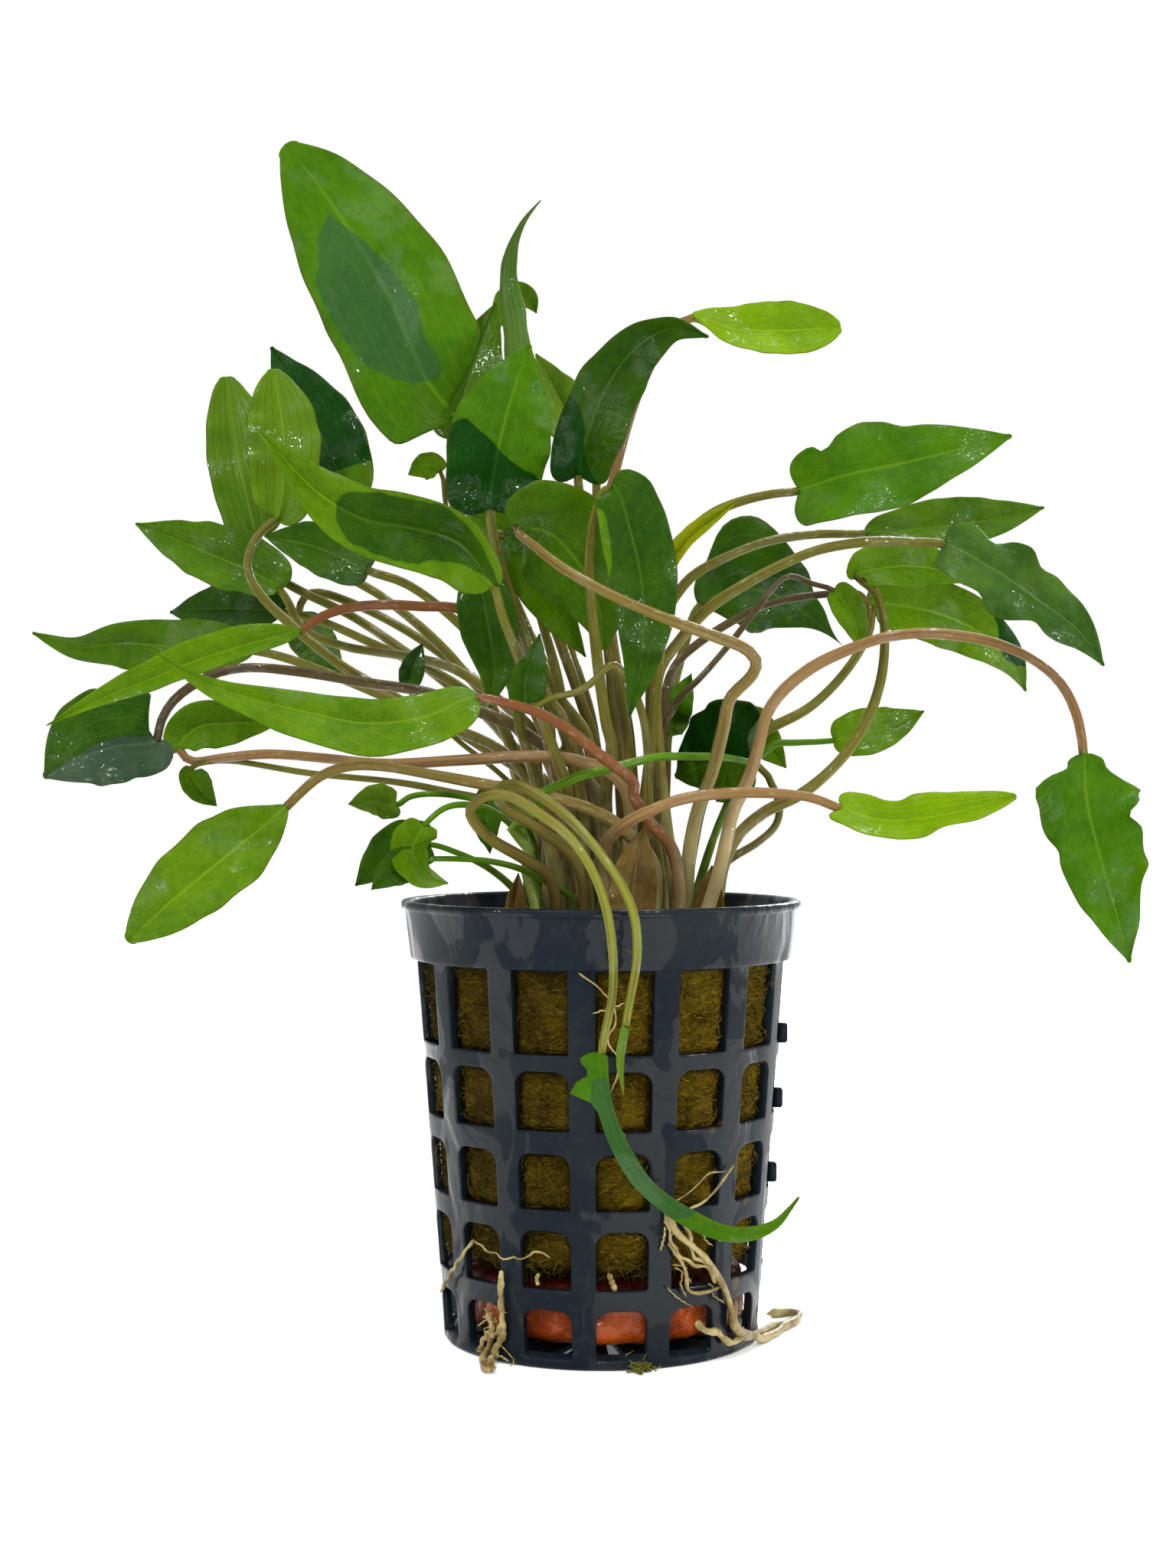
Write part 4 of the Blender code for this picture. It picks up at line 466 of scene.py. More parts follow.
def real(points):
    """Points across, up and deep in the front view, as x, y, z."""
    points = np.asarray(points, float)
    on_plane = np.stack([points[..., 0], np.zeros(points.shape[:-1]), points[..., 1]], -1)
    return EYE + (on_plane - EYE) * (1 + points[..., 2:3] / -EYE[1])


def viewed(places):
    """Points x, y, z, as across, up and deep in the front view."""
    places = np.asarray(places, float)
    on_plane = EYE + (places - EYE) / (1 + places[..., 1:2] / -EYE[1])
    return np.stack([on_plane[..., 0], on_plane[..., 2], places[..., 1]], -1)


def smooth_through(points, steps=10):
    """A smooth curve through the points, with tangents weighted for uneven spacing."""
    points = np.asarray(points, float)
    gaps = np.linalg.norm(np.diff(points, axis=0), axis=1) ** 0.5
    slopes = np.diff(points, axis=0) / gaps[:, None]
    before, after = gaps[:-1, None], gaps[1:, None]
    inner = (slopes[:-1] * after + slopes[1:] * before) / (before + after)
    tangents = np.vstack([slopes[:1], inner, slopes[-1:]])
    curve = []
    for i, gap in enumerate(gaps):
        t = np.linspace(0, 1, steps, endpoint=False)[:, None]
        curve.append((2 * t**3 - 3 * t**2 + 1) * points[i] + (t**3 - 2 * t**2 + t) * gap * tangents[i]
                     + (3 * t**2 - 2 * t**3) * points[i + 1] + (t**3 - t**2) * gap * tangents[i + 1])
    return np.vstack(curve + [points[-1:]])


def evenly(curve, count):
    """The curve's points again, count of them, evenly spaced along it."""
    lengths = np.concatenate([[0], np.cumsum(np.linalg.norm(np.diff(curve, axis=0), axis=1))])
    wanted = np.linspace(0, lengths[-1], count)
    return np.stack([np.interp(wanted, lengths, curve[:, k]) for k in range(3)], -1)


def spread_slots(rows):
    """Pushes the feet of the stalks apart on the crown."""
    feet = np.array([row["slot"] for row in rows], float)
    room = np.array([row["radius"] * 1.15 for row in rows])
    for _ in range(SLOT_ROUNDS):
        for i in range(len(feet)):
            away = feet[i] - feet
            distance = np.linalg.norm(away, axis=1)
            distance[i] = 99
            need = room[i] + room + GAP + 0.15
            close = np.maximum(need - distance, 0)
            feet[i] += 0.4 * (away / np.maximum(distance, 0.05)[:, None] * close[:, None]).sum(0)
            reach = np.linalg.norm(feet[i])
            feet[i] *= min(1.0, STALKS_DISC / max(reach, 0.01))
    for row, foot in zip(rows, feet):
        row["foot"] = foot


def lay_path(row):
    """The leaf's midline as seen: STALK_KNOTS points up the stalk, then BLADE_KNOTS along the blade."""
    foot = viewed([row["foot"][0], row["foot"][1], STALKS_START])
    blade = np.array(row["blade"], float)
    along = np.linspace(0, 1, len(blade))
    deep = row["depth"][0] + (row["depth"][1] - row["depth"][0]) * along
    blade = np.column_stack([blade, deep])
    stalk = np.array(row["stalk"], float).reshape(-1, 2)
    if len(stalk):
        if row["stalk_depth"]:
            deep = np.array(row["stalk_depth"], float)
        else:
            reach = np.vstack([foot[:2], stalk, blade[0, :2]])
            lengths = np.cumsum(np.linalg.norm(np.diff(reach, axis=0), axis=1))
            share = lengths[:-1] / lengths[-1]
            deep = foot[2] + (blade[0, 2] - foot[2]) * share**1.3
        stalk = np.column_stack([stalk, deep])
    points = np.vstack([foot[None], stalk, blade]) if len(stalk) else np.vstack([foot[None], blade])
    steps = 10
    curve = smooth_through(points, steps)
    blade_from = steps * (len(points) - len(blade))
    row["path"] = np.vstack([evenly(curve[:blade_from + 1], STALK_KNOTS),
                             evenly(curve[blade_from:], BLADE_KNOTS + 1)[1:]])


def fan_out(rows):
    """Pushes the stalks apart sideways where they stand closest, a short step at a time."""
    places = np.array([real(row["path"][:STALK_KNOTS]) for row in rows]).reshape(-1, 3)
    radii = np.repeat([row["radius"] * 1.1 for row in rows], STALK_KNOTS)
    owner = np.repeat(np.arange(len(rows)), STALK_KNOTS)
    counted = [np.arange(STALK_KNOTS) % (1 if row["stalk"] else SCALE_KNOTS) == 0 for row in rows]
    low = np.nonzero(np.concatenate(counted) & (places[:, 2] < FAN_TOP))[0]
    near = np.linalg.norm(places[low][:, None] - places[low][None], axis=2) < FAN_REACH
    i, j = np.nonzero(np.triu(near & (owner[low][:, None] != owner[low][None])))
    i, j = low[i], low[j]
    loose = np.repeat([0.0 if row["fixed"] else 1.0 for row in rows], STALK_KNOTS)
    hold = (loose * np.clip((places[:, 2] - STALKS_START) / 3, 0, 1)).reshape(len(rows), STALK_KNOTS, 1)
    for _ in range(FANNING_ROUNDS):
        apart = places[i] - places[j]
        short = np.maximum(radii[i] + radii[j] + STALK_GAP - np.linalg.norm(apart, axis=1), 0)
        level = np.maximum(np.linalg.norm(apart[:, :2], axis=1), 0.05)
        push = apart[:, :2] / level[:, None] * short[:, None]
        move = np.zeros((len(places), 2))
        count = np.ones(len(places))
        np.add.at(move, i, push)
        np.add.at(move, j, -push)
        np.add.at(count, i[short > 0], 1)
        np.add.at(count, j[short > 0], 1)
        move = (move / np.sqrt(count)[:, None]).reshape(len(rows), STALK_KNOTS, 2)
        wide = move.copy()
        for step, share in ((1, 0.7), (2, 0.4), (3, 0.2)):
            wide[:, step:] += move[:, :-step] * share
            wide[:, :-step] += move[:, step:] * share
        step = (0.2 * wide * hold).reshape(-1, 2)
        length = np.maximum(np.linalg.norm(step, axis=1), 1e-6)
        places[:, :2] += step * np.minimum(1, FAN_STEP / length)[:, None]
        reach = np.maximum(np.linalg.norm(places[:, :2], axis=1), 0.01)
        inside = (loose > 0) & (places[:, 2] < POT_HEIGHT + 4)
        places[:, :2] *= np.where(inside, np.minimum(1, STALKS_REACH / reach), 1)[:, None]
    for row, moved in zip(rows, places.reshape(len(rows), STALK_KNOTS, 3)):
        row["path"][:STALK_KNOTS] = viewed(moved)


def frames(row):
    """Centre, direction, side and face normal of the leaf at each knot, in real space."""
    centre = real(row["path"])
    along = np.gradient(centre, axis=0)
    along /= np.linalg.norm(along, axis=1)[:, None]
    sight = centre - EYE
    sight /= np.linalg.norm(sight, axis=1)[:, None]
    flat_side = np.cross(along, sight)
    flat_side /= np.linalg.norm(flat_side, axis=1)[:, None]
    toward = np.cross(along, flat_side)
    t = np.concatenate([np.zeros(STALK_KNOTS), np.linspace(0, 1, BLADE_KNOTS)])
    roll = np.radians(row["roll"][0] + (row["roll"][1] - row["roll"][0]) * t)[:, None]
    side = np.cos(roll) * flat_side + np.sin(roll) * toward
    return centre, along, side, np.cross(along, side)


def blade_width(row, t):
    """The blade's half width as a share of its widest, from its base (0) to its tip (1)."""
    start, peak = row["start_width"], row["peak"]
    swell = start + (1 - start) * np.sin(math.pi / 2 * np.clip(t / peak, 0, 1)) ** 0.8
    taper = np.cos(math.pi / 2 * np.clip((t - peak) / (1 - peak), 0, 1)) ** row["tip"]
    return np.where(t < peak, swell, taper)


def blade_points(row, t, across, pose):
    """Points of the blade's middle surface at t along it and across from -1 (right) to 1 (left)."""
    centre, along, side, normal = (take(values, t) for values in pose)
    half = np.where(across > 0, row["half"][0], row["half"][1])
    width = half * blade_width(row, t) / math.cos(math.radians(min(abs(row["roll"][0]), 62)))
    reach = np.abs(across)
    lobe = row["lobe"] if isinstance(row["lobe"], tuple) else (row["lobe"], row["lobe"])
    swept = np.where(across > 0, *lobe) * half * reach**1.6 * np.clip(1 - t / 0.35, 0, 1) ** 1.5
    lift = math.sin(math.radians(row["fold"])) * reach
    ripple = row["wave"] * reach**2 * np.sin(2 * math.pi * row["waves"] * t + 1.5 * across)
    return (centre + side * (across * width * math.cos(math.radians(row["fold"])))[..., None]
            - along * swept[..., None] + normal * (width * (lift + ripple))[..., None])


def take(values, t):
    """Values of the blade's knots at t, from 0 at its base to 1 at its tip, however fine the knots are."""
    finer = (len(values) - 1) / (STALK_KNOTS + BLADE_KNOTS - 1)
    place = (STALK_KNOTS - 1 + np.asarray(t) * BLADE_KNOTS) * finer
    return np.stack([np.interp(place, np.arange(len(values)), values[:, k]) for k in range(3)], -1)


def samples(row):
    """Points over the leaf as seen, each with its knot and its thickness."""
    pose = frames(row)
    stalk = viewed(pose[0][:STALK_KNOTS])
    t, across = np.meshgrid(np.linspace(0.02, 1, BLADE_KNOTS), ACROSS, indexing="ij")
    blade = viewed(blade_points(row, t, across, pose)).reshape(-1, 3)
    blade_knots = np.repeat(np.arange(BLADE_KNOTS), len(ACROSS)) + STALK_KNOTS
    knots = np.concatenate([np.arange(STALK_KNOTS), blade_knots])
    radii = np.concatenate([np.full(STALK_KNOTS, row["radius"]), np.full(len(blade), 0.0)])
    return np.vstack([stalk, blade]), knots, radii


def close_pairs(first, second):
    """Pairs of sample points that cover each other in the front view, the gap in depth they need, and which
    of the two lies in front. Which lies in front is settled for one stretch of the first leaf at a time."""
    (a, knots_a, radii_a), (b, _, radii_b) = first, second
    spacing = np.linalg.norm(a[:, None, :2] - b[None, :, :2], axis=2)
    a_stalk, b_stalk = radii_a[:, None] > 0, radii_b[None] > 0
    both = a_stalk & b_stalk
    reach = np.where(both, radii_a[:, None] + radii_b[None] + STALK_GAP,
                     radii_a[:, None] + radii_b[None] + BLADE_GAP)
    need = np.where(both, np.sqrt(np.maximum(reach**2 - spacing**2, 0)), reach)
    i, j = np.nonzero(spacing < reach)
    stretch = (knots_a[i] // ORDER_KNOTS * 4 + (radii_a[i] > 0) * 2 + (radii_b[j] > 0)).astype(int)
    total = np.zeros(4 * (STALK_KNOTS + BLADE_KNOTS))
    np.add.at(total, stretch, b[j, 2] - a[i, 2])
    return i, j, need[i, j], np.where(total[stretch] >= 0, 1.0, -1.0)


def settle(rows):
    """Moves the leaves apart along the line of sight only, smoothly, until none touches another."""
    sets = [samples(row) for row in rows]
    knots = STALK_KNOTS + BLADE_KNOTS
    starts = np.cumsum([0] + [len(s[0]) for s in sets])
    first, second, need, order = [], [], [], []
    for m in range(len(rows)):
        for n in range(m + 1, len(rows)):
            i, j, gap, sign = close_pairs(sets[m], sets[n])
            first.append(i + starts[m])
            second.append(j + starts[n])
            need.append(gap)
            order.append(sign)
    first, second = np.concatenate(first), np.concatenate(second)
    need, order = np.concatenate(need), np.concatenate(order)
    depth = np.concatenate([s[0][:, 2] for s in sets])
    owner = np.concatenate([s[1] + m * knots for m, s in enumerate(sets)])
    free = np.array([0.0 if row["fixed"] else 1.0 for row in rows])[:, None]
    above_rim = np.array([real(row["path"])[:, 2] - POT_HEIGHT + 1 for row in rows])
    hold = free * np.clip(np.maximum.accumulate(above_rim, axis=1) / FREE_ABOVE_RIM, 0, 1)
    held = hold.ravel()[owner]
    shift = np.zeros((len(rows), knots))
    for _ in range(SETTLING_ROUNDS):
        now = depth + shift.ravel()[owner]
        short = np.maximum(need - order * (now[second] - now[first]), 0)
        push = {1: np.zeros(len(rows) * knots), -1: np.zeros(len(rows) * knots)}
        for way in (1, -1):
            mask = order == way
            np.maximum.at(push[way], owner[second[mask]], short[mask] * held[second[mask]])
            np.maximum.at(push[-way], owner[first[mask]], short[mask] * held[first[mask]])
        move = np.zeros_like(shift)
        for way in (1, -1):
            raw = push[way].reshape(len(rows), knots)
            wide = raw.copy()
            for step in range(1, 7):
                fall = 1 - step / 7
                wide[:, step:] = np.maximum(wide[:, step:], raw[:, :-step] * fall)
                wide[:, :-step] = np.maximum(wide[:, :-step], raw[:, step:] * fall)
            move += way * wide
        shift += 0.3 * move * hold
    for row, moved in zip(rows, shift):
        row["path"][:, 2] += moved


def place_leaves():
    """Every leaf and sheath, with its path and its place in depth settled."""
    rows = LEAVES + SHEATHS
    spread_slots(rows)
    for row in rows:
        lay_path(row)
    fan_out(rows)
    settle(rows)
    fan_out(rows)
    return rows


def pot_radius(height):
    """The basket's outer radius below its band."""
    return FOOT_RADIUS + (BODY_TOP_RADIUS - FOOT_RADIUS) * min(max(height / BAND_LOW, 0), 1)


def round_axis(radius, turn, height):
    """The point at a radius from the pot's axis and a turn from its front."""
    return radius * math.sin(turn), -radius * math.cos(turn), height


def on_pot(across, up, clear):
    """The point seen at across and up that lies clear of the basket's wall."""
    deep = -20.0
    for _ in range(30):
        x, _, z = real([across, up, deep])
        reach = pot_radius(z) + clear
        deep = -math.sqrt(max(reach**2 - x**2, 1.0))
    return real([across, up, deep])


def on_floor(across, up, height):
    """The point seen at across and up that lies at a height above the floor."""
    deep = ((height - EYE[2]) / (up - EYE[2]) - 1) * -EYE[1]
    return real([across, up, deep])


def screen(colour):
    """A colour from 0 to 255 as seen, as the linear red, green, blue and alpha of a shader socket."""
    shares = [c / 255 for c in colour]
    linear = [s / 12.92 if s <= 0.04045 else ((s + 0.055) / 1.055) ** 2.4 for s in shares]
    return (*[s * LIGHT_SHARE for s in linear], 1.0)


class Shader:
    """A material's node tree, with short calls for the nodes that the finishes share."""

    def __init__(self, name):
        self.tints = {part: screen(colour) for part, colour in OTHER_COLOURS.get(name, {}).items()}
        self.material = bpy.data.materials.new(name)
        self.material.use_nodes = True
        self.tree = self.material.node_tree
        self.principled = self.tree.nodes["Principled BSDF"]
        self.output = self.tree.nodes["Material Output"]

    def put(self, socket, value):
        """Links a node's output to the socket, or sets the socket to a plain value."""
        if isinstance(value, bpy.types.NodeSocket):
            self.tree.links.new(value, socket)
        elif value is not None:
            socket.default_value = value

    def node(self, kind, settings=None, **inputs):
        made = self.tree.nodes.new(kind)
        for key, value in (settings or {}).items():
            setattr(made, key, value)
        for key, value in inputs.items():
            self.put(made.inputs[key.replace("_", " ")], value)
        return made

    def attribute(self, name, output="Fac"):
        return self.node("ShaderNodeAttribute", dict(attribute_name=name)).outputs[output]

    def place(self):
        return self.node("ShaderNodeTexCoord").outputs["Object"]

    def math(self, operation, first, second=None):
        made = self.tree.nodes.new("ShaderNodeMath")
        made.operation = operation
        self.put(made.inputs[0], first)
        self.put(made.inputs[1], second)
        return made.outputs[0]

    def rise(self, value, low, high, low_out=0.0, high_out=1.0):
        """A smooth step of the value from low to high."""
        made = self.tree.nodes.new("ShaderNodeMapRange")
        made.interpolation_type = "SMOOTHSTEP"
        for k, part in enumerate((value, low, high, low_out, high_out)):
            self.put(made.inputs[k], part)
        return made.outputs[0]

    def mix(self, share, first, second, blend="MIX"):
        made = self.tree.nodes.new("ShaderNodeMix")
        made.data_type = "RGBA"
        made.blend_type = blend
        self.put(made.inputs[0], share)
        self.put(made.inputs[6], first)
        self.put(made.inputs[7], second)
        return made.outputs[2]

    def laid(self, mask, share, under, over):
        """The colour under, with the colour over laid on it by a share of the mask."""
        return self.mix(self.math("MULTIPLY", mask, share), under, over)

    def noise(self, where, scale, detail=3.0, roughness=0.5, distortion=0.0):
        made = self.node("ShaderNodeTexNoise", None, Vector=where, Scale=scale, Detail=detail,
                         Roughness=roughness, Distortion=distortion)
        return made.outputs["Fac"]

    def stretched(self, where, scale):
        """The place with each axis scaled by its own share."""
        made = self.node("ShaderNodeMapping", None, Vector=where)
        made.inputs["Scale"].default_value = scale
        return made.outputs[0]

    def bump(self, height, distance, strength=1.0, under=None):
        made = self.node("ShaderNodeBump", None, Height=height, Distance=distance, Strength=strength)
        if under is not None:
            self.put(made.inputs["Normal"], under)
        return made.outputs[0]

    def finish(self, **inputs):
        """Sets the main shader's sockets and gives back the material."""
        for key, value in inputs.items():
            self.put(self.principled.inputs[key.replace("_", " ")], value)
        return self.material

    def let_light_through(self, colour, share, normal=None):
        """Adds light that comes through from the far side."""
        through = self.node("ShaderNodeBsdfTranslucent", None, Color=colour)
        self.put(through.inputs["Normal"], normal)
        both = self.tree.nodes.new("ShaderNodeMixShader")
        self.put(both.inputs[0], share)
        self.tree.links.new(self.principled.outputs[0], both.inputs[1])
        self.tree.links.new(through.outputs[0], both.inputs[2])
        self.tree.links.new(both.outputs[0], self.output.inputs["Surface"])


leaf_materials = {}


def blade_face(s, tone, marks):
    """The colour of a blade's upper face and its underside in one tone."""
    blade = {part: screen(colour) for part, colour in BLADE_COLOURS[tone].items()}
    face = s.mix(s.rise(marks["patches"], 0.36, 0.66), blade["face"], blade["shade"])
    for mask, share in ((s.rise(marks["fine"], 0.35, 0.7), 0.22), (marks["vein"], 0.4),
                        (marks["cell"], 0.12), (marks["midrib"], 0.6)):
        face = s.laid(mask, share, face, blade["vein"])
    under = s.mix(s.rise(marks["patches"], 0.3, 0.7), blade["under"], blade["face"])
    under = s.laid(marks["vein"], 0.45, under, blade["shade"])
    under = s.laid(marks["midrib"], 0.6, under, blade["vein"])
    return s.mix(s.rise(s.attribute("upper"), -0.1, 0.1), under, face)


def leaf_material(tone, stalk, patch):
    """The finish of a leaf: a veined, wet blade on a streaked stalk. The mesh's attributes say where."""
    key = (tone, stalk, patch)
    if key in leaf_materials:
        return leaf_materials[key]
    stem = {part: screen(colour) for part, colour in STALK_COLOURS[stalk].items()}
    s = Shader("leaf_" + tone + "_" + stalk + ("_" + patch if patch else ""))
    place = s.place()
    across = s.math("ABSOLUTE", s.attribute("across"))
    along_grain = s.attribute("grain", "Vector")
    patches = s.noise(place, 95, 3, 0.6)
    fine = s.noise(place, 900, 4, 0.65)
    wet = s.noise(place, 240, 2, 0.5, 0.6)
    film = s.noise(place, 130, 2, 0.45)

    # The veins run from base to tip beside the midrib, and finer ones cross between them.
    near_vein = s.math("PINGPONG", s.math("ADD", across, 0.012), 0.125)
    net = s.node("ShaderNodeTexVoronoi", dict(feature="DISTANCE_TO_EDGE"),
                 Vector=s.stretched(along_grain, (1.5, 1.5, 0.62)), Scale=1.0)
    marks = dict(patches=patches, fine=fine, vein=s.rise(near_vein, 0.018, 0.0),
                 midrib=s.rise(across, 0.05, 0.01), cell=s.rise(net.outputs["Distance"], 0.08, 0.0))
    margin = s.rise(across, 0.945, 0.985)
    green = blade_face(s, tone, marks)
    # Inside the patch's outline the blade takes the patch's tone, which on some leaves is painted shade or
    # shadow.
    if patch:
        edge = s.math("ADD", s.attribute("patch"), s.rise(wet, 0.3, 0.7, -0.22, 0.22))
        green = s.mix(s.rise(edge, -0.14, 0.14), green, blade_face(s, patch, marks))
    green = s.laid(margin, 0.4, green, screen(MARGIN_COLOUR))

    # The stalk is pale at its foot and streaked along its length.
    up = s.attribute("up_stalk")
    streaks = s.noise(s.stretched(along_grain, (2.6, 2.6, 0.05)), 1.0, 3, 0.6)
    spots = s.noise(s.stretched(along_grain, (1.6, 1.6, 0.5)), 1.0, 4, 0.6)
    stem_colour = s.mix(s.rise(up, 0.25, 0.9), stem["low"], stem["high"])
    stem_colour = s.laid(s.rise(streaks, 0.42, 0.66), 0.75, stem_colour, stem["streak"])
    stem_colour = s.mix(s.rise(up, 0.04, 0.42), stem["foot"], stem_colour)
    stem_colour = s.laid(s.rise(spots, 0.56, 0.72), 0.4, stem_colour, stem["foot"])
    on_blade = s.attribute("on_blade")
    colour = s.mix(s.rise(on_blade, 0.1, 0.75), stem_colour, green)

    relief = s.math("ADD", s.math("MULTIPLY", marks["vein"], -0.5), s.math("MULTIPLY", fine, 0.3))
    relief = s.math("ADD", relief, s.math("MULTIPLY", marks["cell"], -0.2))
    relief = s.math("ADD", s.math("MULTIPLY", relief, on_blade), s.math("MULTIPLY", streaks, 0.35))
    normal = s.bump(relief, 0.00013, 0.85)
    beads = s.noise(place, 420, 2, 0.5, 1.2)
    ripples = s.math("ADD", wet, s.math("MULTIPLY", film, 0.8))
    ripples = s.math("ADD", ripples, s.math("MULTIPLY", beads, 0.55))
    film_normal = s.bump(ripples, 0.0013, 0.75)
    coat = s.rise(film, 0.54, 0.6, 0.0, 0.36)
    roughness = s.rise(patches, 0.35, 0.7, 0.26, 0.42)
    material = s.finish(Base_Color=colour, Roughness=roughness, Normal=normal, Coat_Weight=coat,
                        Coat_Roughness=0.03, Coat_Normal=film_normal, Specular_IOR_Level=0.05)
    lit = s.mix(1.0, colour, (1.6, 1.5, 0.3, 1.0), "MULTIPLY")
    s.let_light_through(lit, s.math("ADD", s.math("MULTIPLY", on_blade, 0.22), 0.1), normal)
    leaf_materials[key] = material
    return material


def attributed(mesh, name, values):
    values = np.asarray(values, np.float32)
    kind = "FLOAT" if values.ndim == 1 else "FLOAT_VECTOR"
    slot = mesh.attributes.new(name, kind, "POINT")
    slot.data.foreach_set("value" if kind == "FLOAT" else "vector", values.ravel())


def mesh_from(name, points_mm, faces, material):
    """A smooth mesh object of its own, from points in millimetres."""
    mesh = bpy.data.meshes.new(name)
    mesh.from_pydata((np.asarray(points_mm) * MM).tolist(), [], faces)
    mesh.shade_smooth()
    mesh.materials.append(material)
    thing = bpy.data.objects.new(name, mesh)
    bpy.context.scene.collection.objects.link(thing)
    return thing


def hand_over(piece, slot, *nodes):
    """Sets a piece on the object's body, in place of the plain solids that it stands for."""
    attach(piece, "root")
    if nodes:
        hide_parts(*nodes)


def loft_faces(rings, ring_size):
    """Quads between rings of points that follow each other."""
    k, i = np.meshgrid(np.arange(rings - 1), np.arange(ring_size), indexing="ij")
    here, there = k * ring_size, (k + 1) * ring_size
    after = (i + 1) % ring_size
    return np.stack([here + i, here + after, there + after, there + i], -1).reshape(-1, 4).tolist()


def calmed(path):
    """The path with the small jolts in its stalk's depth smoothed out, and its ends kept."""
    path = path.copy()
    near = CALM_KNOTS
    shares = np.exp(-0.5 * (np.arange(-near, near + 1) / 2.2) ** 2)
    deep = np.concatenate([np.full(near, path[0, 2]), path[:, 2]])
    smooth = np.convolve(deep, shares / shares.sum(), "same")[near:near + STALK_KNOTS]
    fade = np.clip((STALK_KNOTS - 1 - np.arange(STALK_KNOTS)) / 5, 0, 1)
    path[:STALK_KNOTS, 2] += (smooth - path[:STALK_KNOTS, 2]) * fade
    start, after = real(path[:1])[0], real(path[near + 1:near + 2])[0]
    share = np.linspace(0, 1, near + 2)[1:-1, None]
    straight = viewed(start + (after - start) * share)
    path[1:near + 1] = straight + (path[1:near + 1] - straight) * share**2
    return path


def cubic(values, finer):
    """The rows of values with finer - 1 more between each two, on a smooth curve through them."""
    values = np.asarray(values, float)
    padded = np.vstack([2 * values[:1] - values[1:2], values, 2 * values[-1:] - values[-2:-1]])
    before, here, there, after = padded[:-3], padded[1:-2], padded[2:-1], padded[3:]
    steps = []
    for t in np.arange(finer) / finer:
        steps.append(here + 0.5 * ((there - before) * t + (2 * before - 5 * here + 4 * there - after) * t**2
                                   + (3 * here - 3 * there + after - before) * t**3))
    return np.vstack([np.stack(steps, 1).reshape(-1, values.shape[1]), values[-1:]])


def fine_pose(row):
    """The leaf's frames at finely spaced knots."""
    pose = [cubic(part, FINER) for part in frames(row)]
    return [pose[0]] + [part / np.linalg.norm(part, axis=1)[:, None] for part in pose[1:]]


def inside_by(places, outline):
    """How far inside the closed outline each place lies, in millimetres, below 0 outside it."""
    places = np.asarray(places)[:, None]
    start = np.array(outline, float)
    end = np.roll(start, -1, axis=0)
    along = end - start
    share = np.clip(((places - start) * along).sum(-1) / (along**2).sum(-1), 0, 1)
    reach = np.linalg.norm(places - start - share[..., None] * along, axis=-1).min(1)
    crossing = (start[:, 1] > places[..., 1]) != (end[:, 1] > places[..., 1])
    rise = np.where(along[:, 1] == 0, 1, along[:, 1])
    meets = start[:, 0] + (places[..., 1] - start[:, 1]) / rise * along[:, 0]
    inside = (crossing & (places[..., 0] < meets)).sum(1) % 2 == 1
    return np.where(inside, reach, -reach)


def ring_marks():
    """Round one ring: how far across each point is, which face it is on, and its place on a round stalk."""
    top = len(FACE_ACROSS)
    across = np.array(FACE_ACROSS + FACE_ACROSS[-2:0:-1])
    on_top = np.array([1.0] * top + [-1.0] * (top - 2))
    on_top[0] = on_top[top - 1] = 0.0
    turn = np.concatenate([np.linspace(0, math.pi, top), math.pi + np.linspace(0, math.pi, top)[1:-1]])
    return across, on_top, (np.cos(turn)[:, None], np.sin(turn)[:, None])


RING_ACROSS, ON_TOP, CIRCLE = ring_marks()
RING = len(RING_ACROSS)
JOINT = (STALK_KNOTS - 1) * FINER


def phase_of(row):
    """A number of its own for each leaf, so that no two have the same waves."""
    return sum(map(ord, row["name"]))


def stalk_rings(row, pose, lengths):
    """The rings of points up the stalk, and each point's place in its grain."""
    centre, _, side, normal = pose
    points, grain = [], []
    for u in np.linspace(0, 1, STALK_RINGS + 1)[:-1]:
        k = int(round(u * JOINT))
        radius = row["radius"] * (STALK_FOOT_SHARE - STALK_TAPER * u**0.75)
        radius *= 1 + STALK_UNEVENNESS * math.sin(phase_of(row) + 0.33 * lengths[k])
        points.append(centre[k] + radius * (CIRCLE[0] * side[k] + CIRCLE[1] * normal[k]))
        grain.append(np.column_stack([radius * CIRCLE[0], radius * CIRCLE[1], np.full(RING, lengths[k])]))
    return points, grain


def blade_lift(row, t, width, back):
    """How far the skin stands off the blade's middle surface, with the midrib's swell."""
    rib = row["radius"] * NECK_SHARE * (1 - t) ** 0.8
    swell = np.exp(-(RING_ACROSS * width / (1.25 * rib + 0.02)) ** 2)
    thin = BLADE_HALF_THICKNESS * np.sqrt(np.clip(1 - RING_ACROSS**8, 0, 1))
    near_base = max(0.0, 1 - t / RIB_LENGTH)
    rise_up = thin + swell * rib * near_base * 0.9 - MIDRIB_GROOVE * swell * (1 - near_base)
    rise_down = thin + swell * rib * 1.1
    return np.where(ON_TOP * back > 0, rise_up, rise_down) * ON_TOP


